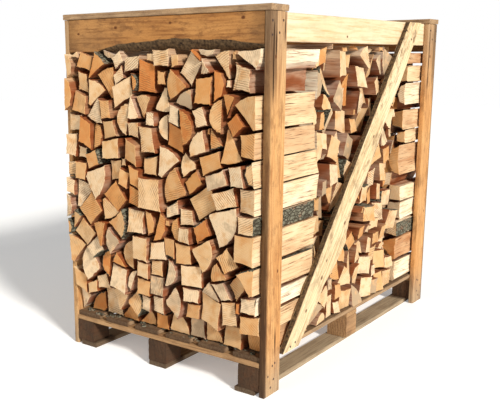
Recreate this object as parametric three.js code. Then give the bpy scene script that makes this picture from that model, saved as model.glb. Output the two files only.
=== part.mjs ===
import * as THREE from 'three';

// A crate of split firewood: an open softwood frame, nailed to a pallet with three runners and
// filled with three rows of logs. The front and back rows lie along Y, the middle row along X.
// Millimetres, +Z up, front towards -Y. The origin is on the floor, under the crate's middle.

// Driving dimensions
const CRATE_WIDTH = 800; // across the outsides of the posts
const CRATE_DEPTH = 1250; // from the front posts' front edges to the back posts' back edges
const CRATE_HEIGHT = 1145; // floor to the top of the cap boards
const TOUCH_GAP = 0.3; // left wherever two pieces touch

const POST_THICKNESS = 20;
const POST_WIDTH = 88;
const CAP_THICKNESS = 18;
const CAP_OVERHANG = 3;
const HEADER_THICKNESS = 18;
const HEADER_HEIGHT = 105;
const RAIL_THICKNESS = 18;
const RAIL_HEIGHT = 82;

const PALLET_BOARD = 16; // thickness of the runners, cross boards and deck boards
const RUNNER_WIDTH = 72;
const RUNNER_INSET = 15; // from the pallet's side to an outer runner's outer edge
const BLOCK_WIDTH = 75;
const BLOCK_DEPTH = 80;
const BLOCK_HEIGHT = 75;
const CENTRE_BLOCK_SHIFT = -14; // the middle blocks and runner sit a little to the left
const DECK_BOARD_COUNT = 6;
const DECK_BOARD_WIDTH = 98;
const DECK_SETBACK = 6; // the deck boards stop short of the cross boards' outer edges

const BRACE_THICKNESS = 18;
const BRACE_FOOT_Y = -516;
const BRACE_HEAD_Y = 351;
// Width of a brace, measured level, at fractions of its height: its lower edge follows the log.
const BRACE_WIDTHS = [
  [0, 100], [0.12, 126], [0.16, 121], [0.2, 148], [0.27, 174], [0.32, 138], [0.38, 119],
  [0.47, 136], [0.54, 140], [0.66, 118], [0.79, 126], [0.92, 117], [1, 112],
];

const FRONT_ROW_BACK = -300; // where the front row's logs end
const BACK_ROW_FRONT = 400; // where the back row's logs start
const PILE_TOP = 950; // top of the filled part that the top logs lie on
const HEAPED_TOP = 1040; // top of the middle row's left half, heaped up between the rails
const BACK_TOP = 1008; // top of the back row
// Outer face of the front and back rows: how far it stands out from the posts, and at what height.
const ROW_BULGE = [
  [-37, 0], [15, 107], [45, 297], [45, 577], [30, 827],
];
const FRONT_TOP_LOGS = 10;
const MIDDLE_TOP_LOGS = 8;

// Worked out from the driving dimensions
const PALLET_HALF_WIDTH = CRATE_WIDTH / 2 - POST_THICKNESS;
const HALF_DEPTH = CRATE_DEPTH / 2;
const POST_TOP = CRATE_HEIGHT - CAP_THICKNESS;
const BLOCK_BASE = PALLET_BOARD;
const CROSS_BASE = BLOCK_BASE + BLOCK_HEIGHT;
const DECK_BASE = CROSS_BASE + PALLET_BOARD;
const DECK_TOP = DECK_BASE + PALLET_BOARD;
const HEADER_BASE = POST_TOP - HEADER_HEIGHT;
const RAIL_BASE = POST_TOP - RAIL_HEIGHT;
const PILE_HALF_WIDTH = PALLET_HALF_WIDTH - 2 * TOUCH_GAP;

const SIDES = [['left', -1], ['right', 1]];
const ENDS = [['front', -1], ['back', 1]];

const group = new THREE.Group();

/** A finish with its own colour; every piece here is bare wood. */
function wood(color, roughness) {
  return new THREE.MeshStandardMaterial({ color, roughness, metalness: 0 });
}

const finishes = {
  frame: () => wood(0xc99a63, 0.75),
  pale: () => wood(0xe8cf9a, 0.75),
  pallet: () => wood(0x9c8468, 0.85),
  block: () => wood(0x6b5138, 0.9),
  log: () => wood(0xd9b483, 0.85),
};

/** Adds a named mesh of the geometry and returns it. */
function add(name, geometry, finish) {
  const mesh = new THREE.Mesh(geometry, finishes[finish]());
  mesh.name = name;
  group.add(mesh);
  return mesh;
}

/** A sawn board or block that fills the space between two corners, less the gap on each mating face. */
function board(name, finish, [x0, x1], [y0, y1], [z0, z1]) {
  const base = z0 + (z0 > 0 ? TOUCH_GAP : 0);
  const mesh = add(name, new THREE.BoxGeometry(x1 - x0, y1 - y0, z1 - base), finish);
  mesh.position.set((x0 + x1) / 2, (y0 + y1) / 2, (base + z1) / 2);
}

/** A closed outline of [across, up] points as a shape. */
function outline(points) {
  return new THREE.Shape(points.map(([across, up]) => new THREE.Vector2(across, up)));
}

/** Extrudes a [y, z] outline from x0 to x1. */
function prismAlongX(name, finish, points, x0, x1) {
  const geometry = new THREE.ExtrudeGeometry(outline(points), { depth: x1 - x0, bevelEnabled: false });
  const mesh = add(name, geometry, finish);
  mesh.rotation.set(Math.PI / 2, Math.PI / 2, 0);
  mesh.position.x = x0;
}

/** Extrudes an [x, z] outline from y0 to y1. */
function prismAlongY(name, finish, points, y0, y1) {
  const geometry = new THREE.ExtrudeGeometry(outline(points), { depth: y1 - y0, bevelEnabled: false });
  const mesh = add(name, geometry, finish);
  mesh.rotation.x = Math.PI / 2;
  mesh.position.y = y1;
}

/** The pallet: runners and deck boards along Y, blocks between them, cross boards along X. */
function buildPallet() {
  const outerRunner = PALLET_HALF_WIDTH - RUNNER_INSET - RUNNER_WIDTH / 2;
  const outerBlock = PALLET_HALF_WIDTH - BLOCK_WIDTH / 2;
  const columns = [
    ['left', -outerRunner, -outerBlock],
    ['centre', CENTRE_BLOCK_SHIFT, CENTRE_BLOCK_SHIFT],
    ['right', outerRunner, outerBlock],
  ];
  const edgeRow = HALF_DEPTH - BLOCK_DEPTH / 2;
  const rows = [['front', -edgeRow], ['middle', 0], ['back', edgeRow]];

  for (const [side, runnerX, blockX] of columns) {
    board(`runner_${side}`, 'pallet',
      [runnerX - RUNNER_WIDTH / 2, runnerX + RUNNER_WIDTH / 2],
      [-HALF_DEPTH, HALF_DEPTH],
      [0, PALLET_BOARD]);
    for (const [row, blockY] of rows) {
      board(`block_${row}_${side}`, 'block',
        [blockX - BLOCK_WIDTH / 2, blockX + BLOCK_WIDTH / 2],
        [blockY - BLOCK_DEPTH / 2, blockY + BLOCK_DEPTH / 2],
        [BLOCK_BASE, CROSS_BASE]);
    }
  }
  for (const [row, crossY] of rows) {
    board(`cross_board_${row}`, 'pallet',
      [-PALLET_HALF_WIDTH, PALLET_HALF_WIDTH],
      [crossY - BLOCK_DEPTH / 2, crossY + BLOCK_DEPTH / 2],
      [CROSS_BASE, DECK_BASE]);
  }
  const pitch = (2 * PALLET_HALF_WIDTH - DECK_BOARD_WIDTH) / (DECK_BOARD_COUNT - 1);
  for (let i = 0; i < DECK_BOARD_COUNT; i += 1) {
    const left = -PALLET_HALF_WIDTH + i * pitch;
    board(`deck_board_${i + 1}`, 'pallet',
      [left, left + DECK_BOARD_WIDTH],
      [-HALF_DEPTH + DECK_SETBACK, HALF_DEPTH - DECK_SETBACK],
      [DECK_BASE, DECK_TOP]);
  }
}

/** The frame: corner posts, a header and a cap board across each end, a rail along each side. */
function buildFrame() {
  const inner = PALLET_HALF_WIDTH + TOUCH_GAP;
  for (const [end, alongY] of ENDS) {
    const outerFace = alongY * HALF_DEPTH;
    const headerBack = outerFace - alongY * HEADER_THICKNESS;
    for (const [side, alongX] of SIDES) {
      const postX = [alongX * inner, alongX * CRATE_WIDTH / 2].sort((a, b) => a - b);
      const postY = [outerFace - alongY * POST_WIDTH, outerFace].sort((a, b) => a - b);
      board(`post_${end}_${side}`, 'frame', postX, postY, [0, POST_TOP]);
    }
    board(`header_${end}`, 'frame',
      [-PALLET_HALF_WIDTH, PALLET_HALF_WIDTH],
      [Math.min(outerFace, headerBack), Math.max(outerFace, headerBack)],
      [HEADER_BASE, POST_TOP]);
    const capOuter = outerFace + alongY * CAP_OVERHANG;
    const capInner = outerFace - alongY * (POST_WIDTH + CAP_OVERHANG);
    board(`cap_${end}`, 'frame',
      [-CRATE_WIDTH / 2 - CAP_OVERHANG, CRATE_WIDTH / 2 + CAP_OVERHANG],
      [Math.min(capOuter, capInner), Math.max(capOuter, capInner)],
      [POST_TOP, CRATE_HEIGHT]);
  }
  const railEnd = HALF_DEPTH - HEADER_THICKNESS - TOUCH_GAP;
  for (const [side, alongX] of SIDES) {
    const railX = [alongX * (PALLET_HALF_WIDTH - RAIL_THICKNESS), alongX * PALLET_HALF_WIDTH];
    board(`rail_${side}`, 'pale', railX.sort((a, b) => a - b), [-railEnd, railEnd], [RAIL_BASE, POST_TOP]);
  }
}

/** A diagonal board on each side, from the deck by the front post up to the rail near the back post. */
function buildBraces() {
  const rise = POST_TOP - DECK_BASE;
  const run = BRACE_HEAD_Y - BRACE_FOOT_Y;
  const lower = BRACE_WIDTHS.map(([part, width]) => [
    BRACE_FOOT_Y + part * run + width,
    DECK_BASE + part * rise,
  ]);
  const points = [[BRACE_FOOT_Y, DECK_BASE], ...lower, [BRACE_HEAD_Y, POST_TOP]];
  const inner = PALLET_HALF_WIDTH + TOUCH_GAP;
  prismAlongX('brace_left', 'pale', points, -inner - BRACE_THICKNESS, -inner);
  prismAlongX('brace_right', 'pale', points, inner, inner + BRACE_THICKNESS);
}

/** The outside of the stacked rows, reaching the tips of their logs. */
function buildRows() {
  const base = DECK_TOP + TOUCH_GAP;
  const bulge = ROW_BULGE.map(([out, up]) => [HALF_DEPTH + out, base + up]);
  const halfWidth = PILE_HALF_WIDTH;

  const front = [...bulge.map(([out, up]) => [-out, up]), [FRONT_ROW_BACK, PILE_TOP], [FRONT_ROW_BACK, base]];
  prismAlongX('logs_front_row', 'log', front, -halfWidth, halfWidth);

  const topOut = bulge[bulge.length - 1][0];
  const back = [...bulge, [topOut, BACK_TOP], [BACK_ROW_FRONT, BACK_TOP], [BACK_ROW_FRONT, base]];
  prismAlongX('logs_back_row', 'log', back, -halfWidth, halfWidth);

  const middleY = [FRONT_ROW_BACK + TOUCH_GAP, BACK_ROW_FRONT - TOUCH_GAP];
  board('logs_middle_row_left', 'log', [-halfWidth, -TOUCH_GAP], middleY, [DECK_TOP, HEAPED_TOP]);
  board('logs_middle_row_right', 'log', [TOUCH_GAP, halfWidth], middleY, [DECK_TOP, PILE_TOP]);
}

// Sections that splitting leaves, in a unit square: [across, up] points, lowest edge first.
const SPLIT_SECTIONS = [
  [[0.02, 0], [0.9, 0], [0.98, 0.62], [0.52, 0.98], [0.06, 0.74]], // quarter
  [[0.1, 0], [0.96, 0], [0.86, 0.96], [0.02, 0.8]], // billet
  [[0.02, 0], [0.98, 0], [0.62, 0.97], [0.34, 0.9]], // wedge
  [[0.04, 0], [0.88, 0], [0.98, 0.5], [0.76, 0.94], [0.3, 0.98], [0.03, 0.55]], // half round
  [[0.02, 0], [0.8, 0], [0.98, 0.9], [0.14, 0.97]], // leaning billet
];

/** One of the split sections, scaled to a width and height and set down at [left, base]. */
function splitSection(index, left, base, width, height) {
  const section = SPLIT_SECTIONS[index % SPLIT_SECTIONS.length];
  return section.map(([across, up]) => [left + across * width, base + up * height]);
}

/** The separate logs that lie side by side on the filled part of the pile. */
function buildTopLogs() {
  const base = PILE_TOP + TOUCH_GAP;
  const frontPitch = 2 * PILE_HALF_WIDTH / FRONT_TOP_LOGS;
  for (let i = 0; i < FRONT_TOP_LOGS; i += 1) {
    const width = frontPitch - 2 - 3 * (i % 3);
    const height = 62 + 3 * ((i * 3) % 4);
    const left = -PILE_HALF_WIDTH + i * frontPitch;
    const frontEnd = -HALF_DEPTH - 24 + 13 * ((i * 3) % 5);
    const section = splitSection(i, left, base, width, height);
    prismAlongY(`top_log_front_${i + 1}`, 'log', section, frontEnd, FRONT_ROW_BACK - 4 * (i % 4));
  }
  const middleStart = FRONT_ROW_BACK + 2 * TOUCH_GAP;
  const middlePitch = (BACK_ROW_FRONT - middleStart) / MIDDLE_TOP_LOGS;
  for (let i = 0; i < MIDDLE_TOP_LOGS; i += 1) {
    const width = middlePitch - 3 - 4 * (i % 3);
    const height = 62 + 6 * ((i * 3) % 4);
    const left = middleStart + i * middlePitch;
    const outerEnd = PILE_HALF_WIDTH - 4 - 17 * ((i * 2) % 5);
    const section = splitSection(i + 3, left, base, width, height);
    prismAlongX(`top_log_middle_${i + 1}`, 'log', section, 6 + 5 * (i % 4), outerEnd);
  }
}

buildPallet();
buildFrame();
buildBraces();
buildRows();
buildTopLogs();

export default group;
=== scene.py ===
import logging
import math
import random
from dataclasses import dataclass, field
from enum import Enum
from typing import Callable, Iterable, Sequence

import bmesh
import bpy
import numpy as np
from mathutils import Matrix, Vector


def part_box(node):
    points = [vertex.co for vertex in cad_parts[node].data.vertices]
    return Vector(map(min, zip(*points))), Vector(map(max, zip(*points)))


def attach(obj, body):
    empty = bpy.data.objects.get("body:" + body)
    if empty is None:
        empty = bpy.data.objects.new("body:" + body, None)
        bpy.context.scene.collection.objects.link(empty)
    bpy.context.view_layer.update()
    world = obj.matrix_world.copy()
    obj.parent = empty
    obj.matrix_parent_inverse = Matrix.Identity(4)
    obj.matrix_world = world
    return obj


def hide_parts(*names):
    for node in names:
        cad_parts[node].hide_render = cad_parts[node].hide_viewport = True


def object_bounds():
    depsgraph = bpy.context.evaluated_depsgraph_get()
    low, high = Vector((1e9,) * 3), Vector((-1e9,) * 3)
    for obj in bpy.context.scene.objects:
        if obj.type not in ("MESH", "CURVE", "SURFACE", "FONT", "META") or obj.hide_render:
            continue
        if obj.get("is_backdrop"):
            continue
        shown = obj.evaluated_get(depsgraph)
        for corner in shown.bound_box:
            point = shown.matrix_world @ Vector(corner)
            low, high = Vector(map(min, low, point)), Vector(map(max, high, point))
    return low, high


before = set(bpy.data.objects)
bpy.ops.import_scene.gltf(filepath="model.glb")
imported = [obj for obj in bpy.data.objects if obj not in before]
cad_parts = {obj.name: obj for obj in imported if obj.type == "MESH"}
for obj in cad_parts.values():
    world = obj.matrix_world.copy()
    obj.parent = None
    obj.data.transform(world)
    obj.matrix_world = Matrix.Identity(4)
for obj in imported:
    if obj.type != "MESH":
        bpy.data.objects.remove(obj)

log = logging.getLogger("firewood_crate")
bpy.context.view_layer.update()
BODY = "root"
MM = 0.001

Colour = tuple[float, float, float]
Socket = bpy.types.NodeSocket


class Slot(Enum):
    """The record's material slots."""

    FRAME = "frame_wood"
    PALE = "pale_wood"
    PALLET = "pallet_wood"
    BLOCK = "block_wood"
    LOG = "log_wood"
    BARK = "bark"
    STEEL = "nail_steel"


class Surface(Enum):
    """What a face of a wooden piece is, as the index of its material."""

    SIDE = 0
    END = 1
    BARK = 2


class Lie(Enum):
    """Which way a piece's length runs: the axes of its across, along and up directions."""

    ALONG_X = (1, 0, 2)
    ALONG_Y = (0, 1, 2)
    ALONG_Z = (1, 2, 0)

    def place(self, across: np.ndarray, along: np.ndarray, up: np.ndarray) -> np.ndarray:
        """Turns a piece's own directions into X, Y and Z.

        Args:
            across: Distances across the piece, in metres.
            along: Distances along the piece.
            up: Distances in the third direction: up, or through a standing board.

        Returns:
            An array of the points, one row each.
        """
        points = np.empty((np.size(across), 3))
        for axis, values in zip(self.value, (across, along, up)):
            points[:, axis] = np.ravel(values)
        return points


def srgb(red: int, green: int, blue: int) -> Colour:
    """Turns a colour given in 0 to 255 steps into the linear one that shaders take.

    Args:
        red: Red, 0 to 255.
        green: Green, 0 to 255.
        blue: Blue, 0 to 255.

    Returns:
        The linear colour.
    """
    def linear(step: int) -> float:
        """One of the three, made linear."""
        share = step / 255
        return share / 12.92 if share <= 0.04045 else ((share + 0.055) / 1.055) ** 2.4
    return linear(red), linear(green), linear(blue)


# ---------------------------------------------------------------- finishes


class Shader:
    """One material's node tree, with short ways to add the nodes that the finishes share."""

    def __init__(self, name: str, roughness: float, specular: float = 0.3) -> None:
        """Starts a material with a Principled shader.

        Args:
            name: The material's name.
            roughness: Roughness of the whole surface.
            specular: Specular level of the whole surface.
        """
        self.material = bpy.data.materials.new(name)
        self.material.use_nodes = True
        self.tree = self.material.node_tree
        self.surface = self.tree.nodes["Principled BSDF"]
        self.surface.inputs["Roughness"].default_value = roughness
        self.surface.inputs["Specular IOR Level"].default_value = specular

    def node(self, kind: str, **settings: object) -> bpy.types.Node:
        """Adds a node and sets its properties.

        Args:
            kind: The node's kind, without its ShaderNode prefix.
            settings: Its properties, by name.

        Returns:
            The node.
        """
        node = self.tree.nodes.new("ShaderNode" + kind)
        for name, value in settings.items():
            setattr(node, name, value)
        return node

    def put(self, target: Socket, value: object) -> None:
        """Links a socket to a target, or sets the target to a plain value.

        Args:
            target: The input socket.
            value: A socket, a colour or a number.
        """
        if isinstance(value, bpy.types.NodeSocket):
            self.tree.links.new(value, target)
        elif isinstance(value, tuple) and len(value) == 3 and target.type == "RGBA":
            target.default_value = (*value, 1.0)
        else:
            target.default_value = value

    def layer(self, name: str, vector: bool = False) -> Socket:
        """Reads one of the mesh's own layers.

        Args:
            name: The layer's name.
            vector: True for a layer of vectors, False for one of numbers.

        Returns:
            The layer's socket.
        """
        node = self.node("Attribute", attribute_name=name)
        return node.outputs["Vector" if vector else "Fac"]

    def math(self, operation: str, first: object, second: object = 0.0, clamp: bool = False) -> Socket:
        """Adds a Math node and returns its result.

        Args:
            operation: What it does.
            first: Its first value or socket.
            second: Its second one.
            clamp: True to hold the result between 0 and 1.

        Returns:
            The result's socket.
        """
        node = self.node("Math", operation=operation, use_clamp=clamp)
        self.put(node.inputs[0], first)
        self.put(node.inputs[1], second)
        return node.outputs[0]

    def stretch(self, vector: Socket, scale: tuple[float, float, float]) -> Socket:
        """Multiplies a vector by a scale for each direction.

        Args:
            vector: The vector.
            scale: The three scales.

        Returns:
            The result's socket.
        """
        node = self.node("VectorMath", operation="MULTIPLY")
        self.put(node.inputs[0], vector)
        node.inputs[1].default_value = scale
        return node.outputs[0]

    def noise(self, vector: Socket, scale: float, detail: float = 2.0, seed: object = 0.0,
              roughness: float = 0.55, distortion: float = 0.0) -> Socket:
        """Adds a four-dimensional noise and returns its factor.

        Args:
            vector: Where the noise is read.
            scale: Its scale.
            detail: How many finer layers it has.
            seed: The fourth coordinate, which gives each piece a pattern of its own.
            roughness: How strong the finer layers are.
            distortion: How far it is warped.

        Returns:
            The factor's socket.
        """
        node = self.node("TexNoise", noise_dimensions="4D")
        for name, value in (("Vector", vector), ("W", seed), ("Scale", scale), ("Detail", detail),
                            ("Roughness", roughness), ("Distortion", distortion)):
            self.put(node.inputs[name], value)
        return node.outputs["Fac"]

    def wave(self, vector: Socket, scale: float, rings: bool, distortion: float = 2.0) -> Socket:
        """Adds growth rings about the Y axis, or bands across X, and returns their factor.

        Args:
            vector: Where the wave is read.
            scale: Its scale.
            rings: True for rings, False for bands.
            distortion: How far it is warped.

        Returns:
            The factor's socket.
        """
        node = self.node("TexWave", wave_type="RINGS" if rings else "BANDS")
        if rings:
            node.rings_direction = "Y"
        for name, value in (("Vector", vector), ("Scale", scale), ("Distortion", distortion),
                            ("Detail", 2.0), ("Detail Scale", 1.5)):
            self.put(node.inputs[name], value)
        return node.outputs["Fac"]

    def span(self, value: Socket, low: float, high: float, to_low: float = 0.0,
             to_high: float = 1.0) -> Socket:
        """Maps the span from low to high onto another, smoothly, and holds it at both ends.

        Args:
            value: The factor.
            low: Where the span starts.
            high: Where it ends.
            to_low: What its start becomes.
            to_high: What its end becomes.

        Returns:
            The result's socket.
        """
        node = self.node("MapRange", interpolation_type="SMOOTHSTEP")
        for name, number in (("Value", value), ("From Min", low), ("From Max", high),
                             ("To Min", to_low), ("To Max", to_high)):
            self.put(node.inputs[name], number)
        return node.outputs["Result"]

    def ramp(self, value: Socket, *stops: tuple[float, Colour]) -> Socket:
        """Turns a factor into a colour by way of stops.

        Args:
            value: The factor.
            stops: Positions and colours, in order.

        Returns:
            The colour's socket.
        """
        node = self.node("ValToRGB")
        bars = node.color_ramp.elements
        while len(bars) < len(stops):
            bars.new(0.5)
        for bar, (position, colour) in zip(bars, stops):
            bar.position = position
            bar.color = (*colour, 1.0)
        self.put(node.inputs["Fac"], value)
        return node.outputs["Color"]

    def mix(self, factor: object, first: object, second: object, blend: str = "MIX") -> Socket:
        """Mixes two colours and returns the result.

        Args:
            factor: How much of the second colour there is.
            first: The first colour.
            second: The second one.
            blend: How they are blended.

        Returns:
            The result's socket.
        """
        node = self.node("Mix", data_type="RGBA", blend_type=blend)
        self.put(node.inputs["Factor"], factor)
        self.put(node.inputs[6], first)
        self.put(node.inputs[7], second)
        return node.outputs[2]

    def finish(self, colour: Socket, height: Socket, depth: float) -> bpy.types.Material:
        """Connects the colour and the relief and returns the material.

        Args:
            colour: The base colour.
            height: The relief, 0 to 1.
            depth: How deep the relief is, in metres.

        Returns:
            The material.
        """
        bump = self.node("Bump")
        bump.inputs["Strength"].default_value = 1.0
        bump.inputs["Distance"].default_value = depth
        self.put(bump.inputs["Height"], height)
        self.put(self.surface.inputs["Normal"], bump.outputs["Normal"])
        self.put(self.surface.inputs["Base Color"], colour)
        return self.material


@dataclass(frozen=True)
class SplitFace:
    """The torn, fibrous side of a split log: cream where fresh, red-brown along the fibres, and painted shade
    on sides inside the pile.
    """

    fresh: Colour = srgb(250, 240, 216)
    tan: Colour = srgb(230, 200, 156)
    deep: Colour = srgb(172, 112, 66)
    fibre: Colour = srgb(96, 54, 28)
    # Painted shade: the red-brown that the sides inside the pile are darkened towards.
    inner: Colour = srgb(134, 66, 26)
    relief: float = 3.4 * MM

    def material(self) -> bpy.types.Material:
        """Makes the material; a log's own tone, seed and painted shade come from its mesh."""
        s = Shader("split_face", roughness=0.78, specular=0.25)
        fibre = s.layer("fibre", vector=True)
        seed = s.layer("seed")
        tone = s.layer("tone")
        long = s.noise(s.stretch(fibre, (1.0, 0.05, 1.0)), 140, 4, seed, 0.65)
        broad = s.noise(s.stretch(fibre, (1.0, 0.35, 1.0)), 22, 2, seed)
        fine = s.noise(s.stretch(fibre, (1.0, 0.03, 1.0)), 420, 3, seed, 0.6)
        shade = s.math("ADD", s.math("MULTIPLY", tone, 0.62), s.math("MULTIPLY", broad, 0.5))
        colour = s.ramp(shade, (0.22, self.fresh), (0.55, self.tan), (0.92, self.deep))
        colour = s.mix(s.span(long, 0.50, 0.66, 0.0, 0.5), colour, self.deep)
        # Painted shade: the sides of logs inside the pile, away from the row's walls and below its top, are
        # darkened towards the inner red-brown by a mesh layer.
        inside = s.math("MULTIPLY", s.layer("shut"), s.span(broad, 0.30, 0.62, 0.66, 0.97))
        colour = s.mix(inside, colour, self.inner)
        streaks = s.math("MULTIPLY", s.span(fine, 0.53, 0.63), s.span(long, 0.40, 0.58, 0.2, 0.85))
        colour = s.mix(streaks, colour, self.fibre)
        height = s.math("ADD", s.math("MULTIPLY", long, 0.7), s.math("MULTIPLY", fine, 0.3))
        return s.finish(colour, height, self.relief)


@dataclass(frozen=True)
class EndGrain:
    """The sawn end of a log: growth rings about its pith, saw marks across it, checks and grey bloom."""

    pale: Colour = srgb(234, 210, 172)
    tan: Colour = srgb(216, 178, 128)
    warm: Colour = srgb(206, 150, 90)
    heart: Colour = srgb(192, 114, 54)
    grey: Colour = srgb(178, 158, 128)
    dark: Colour = srgb(118, 78, 46)
    relief: float = 1.4 * MM

    def material(self) -> bpy.types.Material:
        """Makes the material; rings and saw marks come from the log's own layers."""
        s = Shader("end_grain", roughness=0.85, specular=0.2)
        fibre = s.layer("fibre", vector=True)
        saw = s.layer("saw", vector=True)
        seed = s.layer("seed")
        tone = s.layer("tone")
        rings = s.wave(fibre, 78, rings=True, distortion=1.6)
        marks = s.wave(saw, 50, rings=False, distortion=3.2)
        vigour = s.span(s.math("FRACT", s.math("MULTIPLY", seed, 3.7)), 0.15, 0.85, 0.15, 1.0)
        patch = s.noise(fibre, 34, 3, seed)
        grit = s.noise(fibre, 900, 2, seed, 0.7)
        radial = s.node("VectorMath", operation="NORMALIZE")
        s.put(radial.inputs[0], s.stretch(fibre, (1.0, 0.0, 1.0)))
        rays = s.noise(radial.outputs[0], 26, 2, seed, 0.6)
        base = s.ramp(s.math("ADD", tone, s.math("MULTIPLY", s.math("SUBTRACT", patch, 0.5), 0.5)),
                      (0.04, self.grey), (0.16, self.pale), (0.5, self.tan), (0.8, self.warm),
                      (1.0, self.heart))
        colour = s.mix(s.span(patch, 0.50, 0.72, 0.0, 0.55), base, self.warm)
        bloom = s.noise(fibre, 18, 4, s.math("ADD", seed, 7.0), 0.65)
        colour = s.mix(s.span(bloom, 0.60, 0.74, 0.0, 0.4), colour, self.grey)
        colour = s.mix(s.span(rings, 0.55, 0.95, 0.0, 0.34), colour, self.heart)
        band = s.span(s.noise(saw, 30, 1, seed), 0.35, 0.6)
        band = s.math("MULTIPLY", band, vigour)
        colour = s.mix(s.math("MULTIPLY", s.span(marks, 0.55, 0.95, 0.0, 0.72), band), colour, self.dark)
        reach = s.node("VectorMath", operation="LENGTH")
        s.put(reach.inputs[0], s.stretch(fibre, (1.0, 0.0, 1.0)))
        near_pith = s.span(reach.outputs["Value"], 0.035, 0.065, 0.6, 0.0)
        core = s.math("MULTIPLY", near_pith, s.span(tone, 0.35, 0.9))
        colour = s.mix(s.math("MULTIPLY", core, s.span(patch, 0.35, 0.6)), colour, self.heart)
        checks = s.math("MULTIPLY", s.span(rays, 0.69, 0.74), s.span(bloom, 0.40, 0.55))
        colour = s.mix(s.math("MULTIPLY", checks, 0.75), colour, self.dark)
        colour = s.mix(s.span(grit, 0.56, 0.74, 0.0, 0.4), colour, self.dark)
        height = s.math("ADD", s.math("MULTIPLY", s.math("MULTIPLY", marks, vigour), 0.25),
                        s.math("MULTIPLY", grit, 0.3))
        height = s.math("SUBTRACT", s.math("ADD", height, s.math("MULTIPLY", rings, 0.2)), checks)
        return s.finish(colour, height, self.relief)


@dataclass(frozen=True)
class Bark:
    """Rough bark: dark grey-green plates, lichen specks and red-brown in the cracks."""

    plate: Colour = srgb(122, 120, 102)
    dark: Colour = srgb(62, 54, 42)
    lichen: Colour = srgb(178, 178, 160)
    inner: Colour = srgb(134, 78, 48)
    relief: float = 4.0 * MM

    def material(self) -> bpy.types.Material:
        """Makes the material."""
        s = Shader("bark", roughness=0.92, specular=0.15)
        fibre = s.stretch(s.layer("fibre", vector=True), (1.0, 0.45, 1.0))
        seed = s.layer("seed")
        broad = s.noise(fibre, 45, 4, seed, 0.6)
        fine = s.noise(fibre, 240, 3, seed, 0.7)
        plates = s.node("TexVoronoi", feature="DISTANCE_TO_EDGE")
        s.put(plates.inputs["Vector"], fibre)
        plates.inputs["Scale"].default_value = 95
        cracks = s.span(plates.outputs["Distance"], 0.0, 0.16)
        colour = s.ramp(broad, (0.30, self.dark), (0.52, self.plate), (0.72, self.inner))
        colour = s.mix(s.span(fine, 0.58, 0.70, 0.0, 0.75), colour, self.lichen)
        colour = s.mix(s.math("SUBTRACT", 1.0, cracks), colour, self.dark)
        height = s.math("ADD", s.math("MULTIPLY", cracks, 0.5), s.math("MULTIPLY", fine, 0.5))
        return s.finish(colour, height, self.relief)


@dataclass(frozen=True)
class Knot:
    """A knot in a board: where it is along and across the board, and its size, in metres."""

    along: float
    across: float
    radius: float = 9 * MM


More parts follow.
